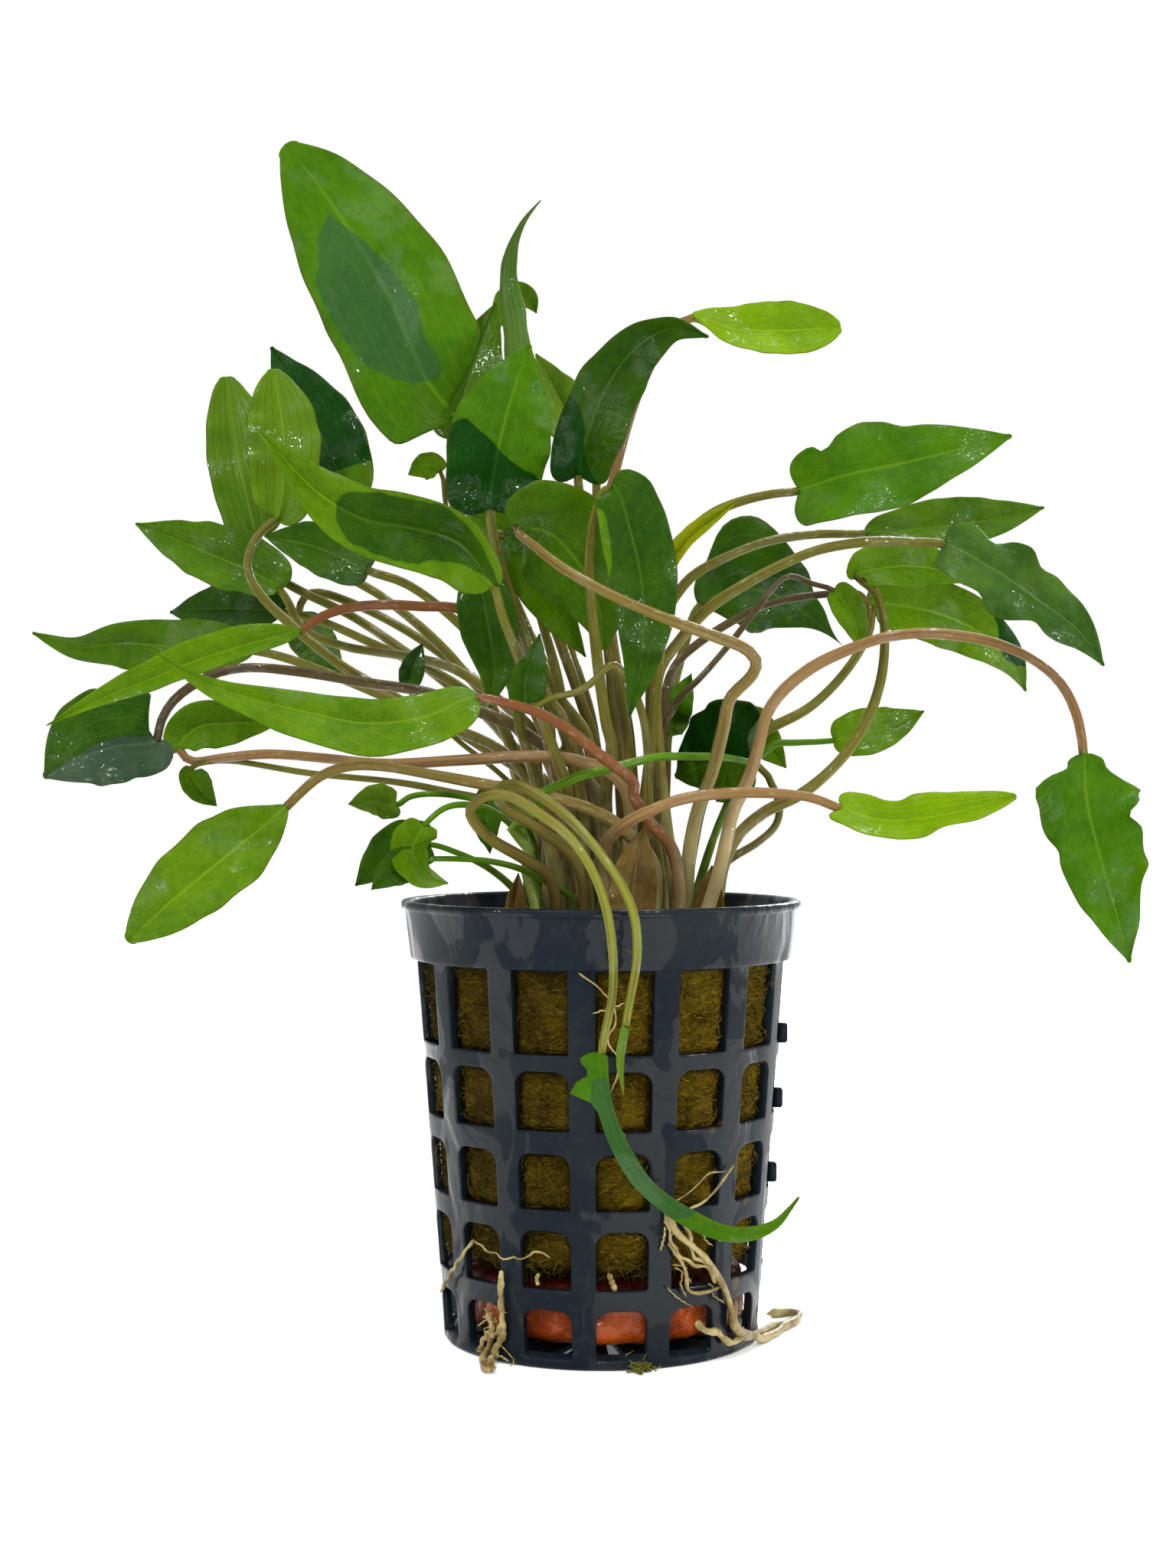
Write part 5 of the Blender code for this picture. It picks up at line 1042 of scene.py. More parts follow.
def blade_rings(row, looks, pose, lengths, back):
    """The rings of points from the neck to the tip, how far each ring is on the blade, and their grain."""
    centre, _, side, normal = pose
    near = BASE_ROUND * np.linspace(0, 1, BASE_ROWS)[:-1] ** 1.7
    beyond = BASE_ROUND + (1 - BASE_ROUND) * (1 - (1 - np.linspace(0, 1, BLADE_ROWS)[:-1]) ** 1.5)
    shares = [(0.0, m) for m in BASE_RINGS] + [(t, 1.0) for t in np.concatenate([near, beyond])]
    points, on_blade, grain = [], [], []
    for t, m in shares:
        at = np.full(RING, t)
        width = float(blade_width(row, np.array([t]))[0]) * sum(row["half"]) / 2
        lift = blade_lift(row, t, width, back)
        blade = fine_blade(row, looks, at, RING_ACROSS, pose) + take(normal, at) * lift[:, None]
        if m < 1:
            ease = m * m * (3 - 2 * m)
            neck = centre[JOINT] + row["radius"] * NECK_SHARE * (CIRCLE[0] * side[JOINT]
                                                                 + CIRCLE[1] * normal[JOINT])
            blade = neck * (1 - ease) + blade * ease
        points.append(blade)
        on_blade.append(0.25 + m * 0.75)
        reach = lengths[JOINT] + t * (lengths[-1] - lengths[JOINT])
        grain.append(np.column_stack([RING_ACROSS * width, 0.2 * ON_TOP, np.full(RING, reach)]))
    return points, on_blade, grain


def fine_leaf(row):
    """One closed mesh from the stalk's foot to the blade's tip, with the marks its finish reads."""
    looks = LOOKS.get(row["name"], {})
    row = dict(row, **looks.get("shape", {}))
    pose = fine_pose(row)
    back = -1.0 if looks.get("turned") else 1.0
    lengths = np.concatenate([[0], np.cumsum(np.linalg.norm(np.diff(pose[0], axis=0), axis=1))])
    stalk, stalk_grain = stalk_rings(row, pose, lengths)
    blade, on_blade, blade_grain = blade_rings(row, looks, pose, lengths, back)
    tip = fine_blade(row, looks, np.array([1.0]), np.array([0.0]), pose)
    points = np.vstack(stalk + blade + [tip])
    rings = len(stalk) + len(blade)
    faces = loft_faces(rings, RING)
    last = (rings - 1) * RING
    faces += [(last + i, last + (i + 1) % RING, len(points) - 1) for i in range(RING)]
    faces.append(tuple(reversed(range(RING))))

    finish = leaf_material(looks.get("tone", row["tone"]), looks.get("stalk", "olive"), looks.get("patch"))
    piece = mesh_from("fine_" + row["name"], points, faces, finish)
    up = np.append(np.linspace(0, 1, STALK_RINGS + 1)[:-1], np.ones(len(blade)))
    on_blade = np.append(np.zeros(len(stalk)), on_blade)
    across = np.append(np.zeros(len(stalk) * RING), np.tile(RING_ACROSS, len(blade)))
    grain = stalk_grain + blade_grain
    attributed(piece.data, "up_stalk", np.append(np.repeat(up, RING), 1.0))
    attributed(piece.data, "on_blade", np.append(np.repeat(on_blade, RING), 1.0))
    attributed(piece.data, "across", np.append(across, 0.0))
    attributed(piece.data, "upper", np.append(np.tile(ON_TOP, rings), 0.0) * back)
    attributed(piece.data, "grain", np.vstack(grain + [grain[-1][:1]]))
    if looks.get("patch"):
        spots = np.array([(*spot, 0.0) for spot in looks["outline"]])
        outline = cubic(np.vstack([spots, spots[:1]]), 5)[:-1, :2]
        attributed(piece.data, "patch", inside_by(viewed(points)[:, :2], outline))
    return piece


def fine_blade(row, looks, t, across, pose):
    """Points of the blade's middle surface, with the small waves, notches and round tip that the plain
    solid lacks."""
    points = blade_points(row, t, across, pose)
    middle, side, normal = take(pose[0], t), take(pose[2], t), take(pose[3], t)
    near_tip = np.clip((t - TIP_ROUND) / (1 - TIP_ROUND), 0, 1)
    round_width = blade_width(row, np.full(len(t), TIP_ROUND)) * np.sqrt(1 - near_tip**2)
    own_width = np.maximum(blade_width(row, t), 1e-4)
    blunt = np.where(near_tip > 0, np.minimum(round_width / own_width, 8), 1)
    near_base = np.clip(1 - t / max(looks.get("base_round", BASE_ROUND), 1e-3), 0, 1)
    blunt = blunt * np.maximum(np.sqrt(1 - near_base**2), 0.2)
    points = middle + (points - middle) * blunt[:, None]
    reach = np.abs(across)
    width = np.where(across > 0, row["half"][0], row["half"][1]) * blade_width(row, t)
    phase = phase_of(row)
    ripple = LONG_WAVE * np.sin(8.0 * t * math.pi + 2.2 * across + phase) * reach**1.5
    ripple += SHORT_WAVE * np.sin(14.0 * t * math.pi - 3.1 * across + 2.7 * phase) * reach**2
    points = points + normal * (width * ripple)[:, None]
    edge = EDGE_WAVE * np.sin(9.0 * t * math.pi + 4.0 * np.sign(across) + phase) * reach**2
    for which, place, depth, spread in looks.get("notches", ()):
        notch = depth * np.exp(-((t - place) / spread) ** 2)
        edge -= np.where(np.sign(across) == which, notch, 0) * reach**2
    return points + side * (np.sign(across) * width * edge)[:, None]


def make_leaves():
    slots = {node["node"]: node["material_slot"] for node in frame["record"]["subparts"]}
    for row in place_leaves():
        row["path"] = calmed(row["path"])
        hand_over(fine_leaf(row), slots[row["name"]], row["name"])
    for row in SMALL_LEAVES:
        row["foot"] = np.array(row["slot"], float)
        lay_path(row)
        hand_over(fine_leaf(row), "leaf_mid")


def tubes(paths, radii, sides, draw):
    """Points and faces of many open tubes at once. paths is (tubes, knots, 3) and radii (tubes, knots)."""
    paths = np.asarray(paths, float)
    count, knots = paths.shape[:2]
    along = np.gradient(paths, axis=1)
    along /= np.maximum(np.linalg.norm(along, axis=2), 1e-9)[..., None]
    aim = np.array([[draw.gauss(0, 1) for _ in range(3)] for _ in range(count)])[:, None]
    first = np.cross(along, aim)
    first /= np.maximum(np.linalg.norm(first, axis=2), 1e-9)[..., None]
    second = np.cross(along, first)
    angle = 2 * math.pi * np.arange(sides) / sides
    ring = (np.cos(angle)[:, None] * first[:, :, None] + np.sin(angle)[:, None] * second[:, :, None])
    points = (paths[:, :, None] + ring * np.asarray(radii)[..., None, None]).reshape(-1, 3)
    k, i = np.meshgrid(np.arange(knots - 1), np.arange(sides), indexing="ij")
    one = np.stack([k * sides + i, k * sides + (i + 1) % sides, (k + 1) * sides + (i + 1) % sides,
                    (k + 1) * sides + i], -1).reshape(-1, 4)
    faces = (one[None] + (np.arange(count) * knots * sides)[:, None, None]).reshape(-1, 4)
    return points, faces.tolist()


def joined(parts):
    """Points and faces of several meshes as one."""
    points, faces, start = [], [], 0
    for some_points, some_faces in parts:
        points.append(np.asarray(some_points, float))
        faces += [tuple(start + v for v in face) for face in some_faces]
        start += len(some_points)
    return np.vstack(points), faces


def root_tube(places, radius, draw, knots=60, sides=9, wobble=0.12):
    """A smooth tube through the places, with uneven thickness and closed, tapering ends."""
    path = evenly(smooth_through(places), knots)
    s = np.linspace(0, 1, knots)
    phases = [draw.uniform(0, 6.28) for _ in range(6)]
    for axis in range(3):
        path[:, axis] += radius * wobble * np.sin(s * 31 + phases[axis]) * np.sin(math.pi * s)
    thick = radius * (1 + 0.16 * np.sin(s * 23 + phases[3]) + 0.08 * np.sin(s * 57 + phases[4]))
    thick *= np.clip(np.minimum(s * knots / 1.2 + 0.02, (1 - s) * knots / 3 + 0.02), 0, 1)
    return tubes(path[None], thick[None], sides, draw)


POT_PROFILE = (
    # Distance along the wall, then radius and height outside, then radius and height inside.
    (FLOOR_MIDDLE, 0.02, 0.0, 0.02, WALL),
    (HUB_EDGE, FLOOR_HUB_RADIUS - 0.8, 0.0, FLOOR_HUB_RADIUS - 0.8, WALL),
    (SLOT_EDGE, FLOOR_SLOT_RADIUS + 0.8, 0.0, FLOOR_SLOT_RADIUS + 0.8, WALL),
    (-1.6, 19.4, 0.0, 18.7, WALL + 0.02), (-0.9, 19.95, 0.05, 18.95, WALL + 0.06),
    (-0.4, 20.25, 0.2, 19.1, WALL + 0.15), (0.2, pot_radius(0.5) - 0.02, 0.5, 19.22, WALL + 0.3),
    (0.75, pot_radius(0.75), 0.75, 19.3, WALL + 0.45),
    (8.6, pot_radius(8.6), 8.6, pot_radius(8.6) - WALL, 8.6),
    (49.0, pot_radius(49.0), 49.0, pot_radius(49.0) - WALL, 49.0),
    (49.1, 24.3, 49.04, 22.95, 49.2), (49.25, 24.68, 49.12, 23.05, 49.45), (49.45, 24.8, 49.3, 23.3, 49.8),
    (49.8, BAND_LOW_RADIUS + 0.05, 49.7, 23.62, 50.3), (55.4, 25.56, 55.35, 24.4, 55.3),
    (55.6, 25.68, 55.52, 24.46, 55.55), (55.75, 25.88, 55.6, 24.48, 55.7),
    (55.9, LIP_RADIUS, 55.72, 24.5, 55.85), (56.15, LIP_RADIUS + 0.02, 56.1, 24.52, 56.1),
    (56.35, LIP_RADIUS - 0.05, 56.4, 24.58, 56.35), (56.5, LIP_RADIUS - 0.2, 56.57, 24.7, 56.5),
    (56.6, LIP_RADIUS - 0.5, POT_HEIGHT, 24.95, 56.58),
)


def pot_place(turn, distance, depth):
    """A point of the basket's wall at a turn from its front, a distance along it and a share of its depth."""
    table = np.array(POT_PROFILE)
    around, far, deep = np.broadcast_arrays(turn, distance, depth)
    outer = [np.interp(far, table[:, 0], table[:, k]) for k in (1, 2)]
    inner = [np.interp(far, table[:, 0], table[:, k]) for k in (3, 4)]
    radius = outer[0] * (1 - deep) + inner[0] * deep
    height = outer[1] * (1 - deep) + inner[1] * deep
    return np.stack([radius * np.sin(around), -radius * np.cos(around), height], -1)


def cell_edge(low, high, half_turn):
    """32 places round a cell's edge, as turn and distance, from its low left corner."""
    share = np.arange(8) / 8
    turn = np.concatenate([-1 + 2 * share, np.ones(8), 1 - 2 * share, -np.ones(8)]) * half_turn
    far = np.concatenate([np.full(8, low), low + (high - low) * share, np.full(8, high),
                          high - (high - low) * share])
    return turn, far


def window_edge(low, high, half_wide, low_corner, top_corner, grow):
    """32 places round a window with round corners, in millimetres across and along the wall."""
    half, low, high = half_wide + grow, low - grow, high + grow
    spots = []
    for quarter in range(4):
        right_now, right_next = quarter in (1, 2), quarter in (0, 1)
        top_now, top_next = quarter in (2, 3), quarter in (1, 2)
        turn = math.pi * (1.25 + 0.5 * quarter)
        for right, top, angles in ((right_now, top_now, (0, 15, 30, 45)),
                                   (right_next, top_next, (45, 60, 75))):
            corner = (top_corner if top else low_corner) + grow
            x = (half - corner) * (1 if right else -1)
            z = high - corner if top else low + corner
            for step in angles:
                angle = turn + math.radians(step)
                spots.append((x + corner * math.cos(angle), z + corner * math.sin(angle)))
        first, second = spots[-4], spots[-3]
        spots.insert(len(spots) - 3, ((first[0] + second[0]) / 2, (first[1] + second[1]) / 2))
    return np.array(spots).T


def pot_tab(turn, height):
    """A small stub of dark plastic that stands proud of a rib."""
    radius = pot_radius(height)
    out = np.array([math.sin(turn), -math.cos(turn), 0])
    wide = np.array([math.cos(turn), math.sin(turn), 0])
    points = []
    for reach, size in ((-0.4, 1.0), (0.75, 1.0), (0.98, 0.78)):
        for x, z in ((-1, -1), (1, -1), (1, 1), (-1, 1)):
            points.append(out * (radius + reach) + wide * (0.65 * x * size)
                          + np.array([0, 0, height + 1.25 * z * size]))
    faces = loft_faces(3, 4) + [(3, 2, 1, 0), (8, 9, 10, 11)]
    return points, faces


def make_pot():
    """The net pot: a wall and a slotted floor with round-cornered windows, a band and a lip."""
    pitch = 2 * math.pi / WINDOW_COLUMNS
    rows = [(FLOOR_MIDDLE + FLOOR_HUB_RADIUS, FLOOR_MIDDLE + FLOOR_SLOT_RADIUS, HUB_EDGE, SLOT_EDGE, 0.8, 1.4,
             12.0)]
    joints = [0.75] + [(WINDOW_ROWS[k][1] + WINDOW_ROWS[k + 1][0]) / 2 for k in range(4)] + [49.0]
    for k, (low, high) in enumerate(WINDOW_ROWS):
        top_corner = WINDOW_LOW_CORNER if k == len(WINDOW_ROWS) - 1 else WINDOW_TOP_CORNER
        rows.append((low, high, joints[k], joints[k + 1], WINDOW_LOW_CORNER, top_corner,
                     pot_radius((low + high) / 2)))
    parts = []
    for column in range(WINDOW_COLUMNS):
        middle = math.radians(WINDOW_TURN_DEG) + column * pitch
        for low, high, cell_low, cell_high, low_corner, top_corner, radius in rows:
            half_wide = pitch * WINDOW_SHARE / 2 * radius * (1.0 if low > 0 else 0.42)
            edge_turn, edge_far = cell_edge(cell_low, cell_high, pitch / 2)
            rings = [pot_place(middle + edge_turn, edge_far, 0.0)]
            for grow, depth in ((0.4, 0.0), (0.13, 0.0), (0.04, 0.04), (0.0, 0.12), (0.0, 0.88), (0.04, 0.96),
                                (0.13, 1.0), (0.4, 1.0)):
                x, far = window_edge(low, high, half_wide, low_corner, top_corner, grow)
                rings.append(pot_place(middle + x / radius, far, depth))
            rings.append(pot_place(middle + edge_turn, edge_far, 1.0))
            parts.append((np.vstack(rings), loft_faces(len(rings), 32)))
    turns = np.concatenate([math.radians(WINDOW_TURN_DEG) + c * pitch - pitch / 2 + pitch * np.arange(8) / 8
                            for c in range(WINDOW_COLUMNS)])
    table = [line[0] for line in POT_PROFILE]
    spans = ([FLOOR_MIDDLE, HUB_EDGE], [far for far in table if SLOT_EDGE <= far <= 0.75],
             [far for far in table if far >= 49.0])
    for span in spans:
        for depth in (0.0, 1.0):
            rings = [pot_place(turns, far, depth) for far in span]
            parts.append((np.vstack(rings), loft_faces(len(rings), len(turns))))
    lip = [pot_place(turns, POT_HEIGHT, 0.0), pot_place(turns, POT_HEIGHT, 1.0)]
    parts.append((np.vstack(lip), loft_faces(2, len(turns))))
    for depth in (0.0, 1.0):
        parts.append((pot_place(turns, FLOOR_MIDDLE, depth), [tuple(range(len(turns)))]))
    points, faces = joined(parts)
    pot = mesh_from("net_pot", points, faces, pot_material())
    shape = bmesh.new()
    shape.from_mesh(pot.data)
    bmesh.ops.remove_doubles(shape, verts=shape.verts, dist=0.004 * MM)
    bmesh.ops.recalc_face_normals(shape, faces=shape.faces)
    for turn, height in POT_TABS:
        tab_points, tab_faces = pot_tab(math.radians(turn), height)
        made = [shape.verts.new(np.array(place) * MM) for place in tab_points]
        for face in tab_faces:
            shape.faces.new([made[v] for v in face])
    shape.to_mesh(pot.data)
    shape.free()
    pot.data.shade_smooth()
    hand_over(pot, "pot_plastic", "pot")


def pot_material():
    s = Shader("pot_plastic")
    place = s.place()
    wide = s.noise(place, 55, 3, 0.55)
    fine = s.noise(place, 700, 4, 0.6)
    film = s.noise(s.stretched(place, (1, 1, 0.55)), 110, 3, 0.5, 0.8)
    drops = s.noise(place, 420, 2, 0.4)
    colour = s.mix(s.rise(wide, 0.35, 0.65), s.tints["shade"], s.tints["face"])
    colour = s.laid(s.rise(fine, 0.5, 0.75), 0.3, colour, s.tints["speck"])
    colour = s.mix(s.rise(film, 0.5, 0.52, 0, 0.5), colour, s.tints["film"])
    grime = s.noise(s.stretched(place, (1, 1, 1.4)), 210, 2, 0.4)
    colour = s.mix(s.rise(grime, 0.74, 0.78, 0, 0.7), colour, s.tints["grime"])
    normal = s.bump(fine, 0.00005, 0.6)
    normal = s.bump(s.rise(film, 0.55, 0.68), 0.00025, 0.7, normal)
    wet = s.bump(drops, 0.0005, 0.35)
    roughness = s.rise(film, 0.45, 0.66, 0.42, 0.16)
    return s.finish(Base_Color=colour, Roughness=roughness, Normal=normal, Specular_IOR_Level=0.06,
                    Coat_Weight=s.rise(film, 0.5, 0.52, 0.0, 0.2), Coat_Roughness=0.06, Coat_Normal=wet)


def near_window(turn, height):
    """1 at the middle of a window and 0 behind a rib."""
    pitch = 2 * math.pi / WINDOW_COLUMNS
    off = (turn - math.radians(WINDOW_TURN_DEG) + pitch / 2) % pitch - pitch / 2
    sideways = 1 - abs(off) / (pitch * WINDOW_SHARE / 2)
    best = -1.0
    for low, high in WINDOW_ROWS:
        upright = 1 - abs(height - (low + high) / 2) / ((high - low) / 2)
        best = max(best, upright)
    share = min(max(min(sideways, best) * 4.5 + 0.35, 0.0), 1.0)
    return share * share * (3 - 2 * share)


def wool_material(name):
    s = Shader(name)
    place = s.place()
    clumps = s.noise(place, 210, 4, 0.65, 0.4)
    threads = s.noise(s.stretched(place, (1, 1, 1.9)), 1100, 5, 0.75, 1.2)
    side = s.node("ShaderNodeSeparateXYZ", None, Vector=place).outputs[0]
    shade_edge_noise = s.noise(place, 60, 2, 0.5)
    colour = s.mix(s.rise(clumps, 0.32, 0.66), s.tints["shade"], s.tints["face"])
    colour = s.laid(s.rise(threads, 0.46, 0.66), 0.75, colour, s.tints["light"])
    # Painted shade: the plug and its fibres turn darker towards the left, as if less light fell there; the
    # noise wobbles the edge of this shade.
    painted_shade_left = s.rise(s.math("ADD", side, s.math("MULTIPLY", shade_edge_noise, 0.012)), 0.016, -0.006, 0, 0.85)
    colour = s.mix(painted_shade_left, colour, s.mix(1.0, colour, (0.42, 0.44, 0.5, 1), "MULTIPLY"))
    height = s.math("ADD", s.math("MULTIPLY", clumps, 1.2), threads)
    return s.finish(Base_Color=colour, Roughness=0.75, Normal=s.bump(height, 0.0007, 1.0),
                    Specular_IOR_Level=0.05)


def wool_reach(turn, height):
    """How far out the plug comes: close to the wall, and further in a window."""
    return pot_radius(height) - WALL - WOOL_INSET + WOOL_SWELL * near_window(turn, height)


def wool_body():
    """The plug's side, top with a pocket, and underside, each as rings of points round the axis."""
    around, upright = 280, 110
    turns = [2 * math.pi * i / around for i in range(around)]
    side, top, under = [], [], []
    for j in range(upright):
        height = WOOL_EDGE - 0.2 + (WOOL_SIDE_TOP - WOOL_EDGE + 0.2) * j / (upright - 1)
        for turn in turns:
            rough = noise.fractal(Vector(round_axis(20, turn, height)) * 0.32, 0.9, 2.1, 5)
            reach = wool_reach(turn, height) + 0.34 * rough
            bottom = max(0.0, 1 - (height - WOOL_EDGE) / 1.6)
            reach -= 1.8 * bottom**2
            ragged = 0.8 * noise.noise(Vector((math.sin(turn) * 9, math.cos(turn) * 9, 3.0))) * bottom
            side.append(round_axis(reach, turn, height + ragged))
    for radius, height in ((22.0, WOOL_SIDE_TOP), (21.0, WOOL_SIDE_TOP + 0.2), (18.5, WOOL_TOP + 0.9),
                           (15.5, WOOL_TOP + 0.3), (13.9, WOOL_TOP - 0.4), (13.4, WOOL_TOP - 2.5),
                           (12.9, WOOL_POCKET_FLOOR + 0.2), (0.1, WOOL_POCKET_FLOOR)):
        for turn in turns:
            spot = Vector((math.sin(turn) * radius, math.cos(turn) * radius, height))
            rough = noise.fractal(spot * 0.3, 0.9, 2.1, 4)
            reach = radius + 0.5 * rough if radius > 1 else radius
            top.append(round_axis(reach, turn, height + 0.5 * rough))
    for radius, height in ((18.0, WOOL_EDGE), (14.5, WOOL_EDGE - 0.1), (8.0, WOOL_EDGE + 0.2),
                           (0.1, WOOL_EDGE + 0.2)):
        for turn in turns:
            rough = noise.noise(Vector((math.sin(turn) * radius, math.cos(turn) * radius, height)) * 0.5)
            under.append(round_axis(radius, turn, height + 0.5 * rough))
    top[:around] = side[-around:]
    under[:around] = side[:around]
    outward = [[tuple(reversed(face)) for face in loft_faces(count, around)] for count in (upright, 8)]
    return joined([(side, outward[0]), (top, outward[1]), (under, loft_faces(4, around))])


def wool_fibre(draw):
    """The path and radii of one loose fibre on the plug's side, in a window."""
    column = draw.randrange(WINDOW_COLUMNS)
    low, high = WINDOW_ROWS[draw.choice((1, 2, 3, 4, 4))]
    pitch = 2 * math.pi / WINDOW_COLUMNS
    turn = math.radians(WINDOW_TURN_DEG) + pitch * (column + draw.uniform(-0.36, 0.36))
    height = draw.uniform(max(low - 0.6, WOOL_EDGE + 0.3), min(high + 0.6, WOOL_SIDE_TOP - 0.4))
    heading = draw.gauss(0, 0.75)
    length = draw.uniform(1.6, 5.2)
    curl = draw.gauss(0, 0.55)
    proud = draw.uniform(0.0, 0.5) if draw.random() < 0.8 else draw.uniform(0.4, 1.0)
    path = []
    for k in range(5):
        step = (k / 4 - 0.5) * length
        bend = curl * (k / 4 - 0.5) ** 2 * length
        t = turn + (step * math.cos(heading) - bend * math.sin(heading)) / 22
        z = height + step * math.sin(heading) + bend * math.cos(heading)
        z = min(max(z, WOOL_EDGE - 0.4), WOOL_SIDE_TOP)
        reach = wool_reach(t, z) + proud * math.sin(math.pi * k / 4) - 0.25 * (k in (0, 4)) + 0.12
        path.append(round_axis(reach, t, z))
    thick = draw.uniform(0.035, 0.085)
    return path, [thick * 0.5, thick, thick, thick * 0.9, thick * 0.4]


def wool_edge_fibre(draw):
    """The path and radii of one fibre that hangs from the plug's low edge."""
    turn = draw.uniform(0, 2 * math.pi)
    reach = draw.uniform(15.5, 18.6)
    drop = draw.uniform(0.5, 1.9)
    lean = [draw.gauss(0, 0.35), draw.gauss(0, 0.35)]
    base = WOOL_EDGE + 0.5
    x, y, _ = round_axis(reach, turn, base)
    path = [(x + lean[0] * k * drop * 0.5, y + lean[1] * k * drop * 0.5, base - drop * k / 4 * 1.6)
            for k in range(5)]
    thick = draw.uniform(0.04, 0.08)
    return path, [thick, thick, thick * 0.8, thick * 0.6, thick * 0.25]


def make_wool():
    """The fibre plug: a matted body that swells into the windows, with loose fibres and a ragged low edge."""
    draw = random.Random(11)
    hand_over(mesh_from("fibre_plug", *wool_body(), wool_material("wool")), "wool", "rockwool")
    fibres = [wool_fibre(draw) for _ in range(WOOL_FIBRES)]
    fibres += [wool_edge_fibre(draw) for _ in range(WOOL_EDGE_FIBRES)]
    paths, radii = zip(*fibres)
    hand_over(mesh_from("loose_fibres", *tubes(paths, radii, 3, draw), wool_material("fibres")), "wool")


def clay_material():
    s = Shader("clay")
    place = s.place()
    height = s.node("ShaderNodeSeparateXYZ", None, Vector=place).outputs[2]
    mottle = s.noise(place, 190, 4, 0.6)
    grit = s.noise(place, 1300, 4, 0.7)
    shade_edge_wobble = s.noise(place, 120, 3, 0.5)
    colour = s.mix(s.rise(mottle, 0.34, 0.62), s.tints["shade"], s.tints["face"])
    colour = s.mix(s.rise(grit, 0.58, 0.7, 0, 0.3), colour, s.tints["grit"])
    # Painted shade: the ring's top, in the gap under the fibre plug, and its foot are darkened, with a
    # wobbling edge.
    edge = s.math("ADD", height, s.math("MULTIPLY", shade_edge_wobble, 0.0016))
    colour = s.mix(s.rise(edge, 0.0082, 0.0094), colour, s.tints["top"])
    colour = s.mix(s.rise(edge, 0.0038, 0.0024, 0, 0.75), colour, s.tints["foot"])
    normal = s.bump(s.math("ADD", s.math("MULTIPLY", mottle, 1.5), grit), 0.0005, 0.8)
    wet = s.bump(s.noise(place, 330, 2, 0.5), 0.0012, 0.6)
    return s.finish(Base_Color=colour, Roughness=0.42, Normal=normal, Specular_IOR_Level=0.08,
                    Coat_Weight=s.rise(mottle, 0.44, 0.5, 0.02, 0.3), Coat_Roughness=0.08, Coat_Normal=wet)


def make_clay():
    """The clay ring: lumps pressed together round a hole."""
    around, profile = 200, 44
    middle = (WEIGHT_HOLE_RADIUS + WEIGHT_RADIUS) / 2
    half_wide = (WEIGHT_RADIUS - WEIGHT_HOLE_RADIUS) / 2
    half_high = (WEIGHT_TOP - WEIGHT_LOW) / 2
    points = []
    for i in range(around):
        turn = 2 * math.pi * i / around
        for j in range(profile):
            angle = 2 * math.pi * j / profile
            square = abs(math.cos(angle)) ** CLAY_SQUARENESS + abs(math.sin(angle)) ** CLAY_SQUARENESS
            round_out = 1 / max(square, 1e-6) ** (1 / CLAY_SQUARENESS)
            x = middle + half_wide * round_out * math.cos(angle)
            z = (WEIGHT_LOW + WEIGHT_TOP) / 2 + half_high * round_out * math.sin(angle)
            spot = Vector(round_axis(x, turn, z))
            lumps = noise.voronoi(spot * 0.21)[0][0]
            small = noise.fractal(spot * 0.45, 1.0, 2.0, 4)
            sink = 0.05 + 0.95 * lumps**1.4 + 0.28 * small
            x -= sink * math.cos(angle)
            z -= sink * 0.8 * math.sin(angle)
            points.append(round_axis(x, turn, z))
    i, j = np.meshgrid(np.arange(around), np.arange(profile), indexing="ij")
    here, there, after = i * profile, (i + 1) % around * profile, (j + 1) % profile
    faces = np.stack([here + j, there + j, there + after, here + after], -1).reshape(-1, 4).tolist()
    hand_over(mesh_from("clay_ring", points, faces, clay_material()), "clay", "clay_weight")


def crown_material():
    s = Shader("crown")
    place = s.place()
    mottle = s.noise(place, 260, 4, 0.65)
    fine = s.noise(place, 1400, 4, 0.7)
    colour = s.mix(s.rise(mottle, 0.36, 0.62), s.tints["shade"], s.tints["face"])
    colour = s.mix(s.rise(fine, 0.55, 0.7, 0, 0.5), colour, s.tints["light"])
    return s.finish(Base_Color=colour, Roughness=0.5, Specular_IOR_Level=0.25, Coat_Weight=0.2,
                    Normal=s.bump(s.math("ADD", mottle, fine), 0.0008, 0.9))


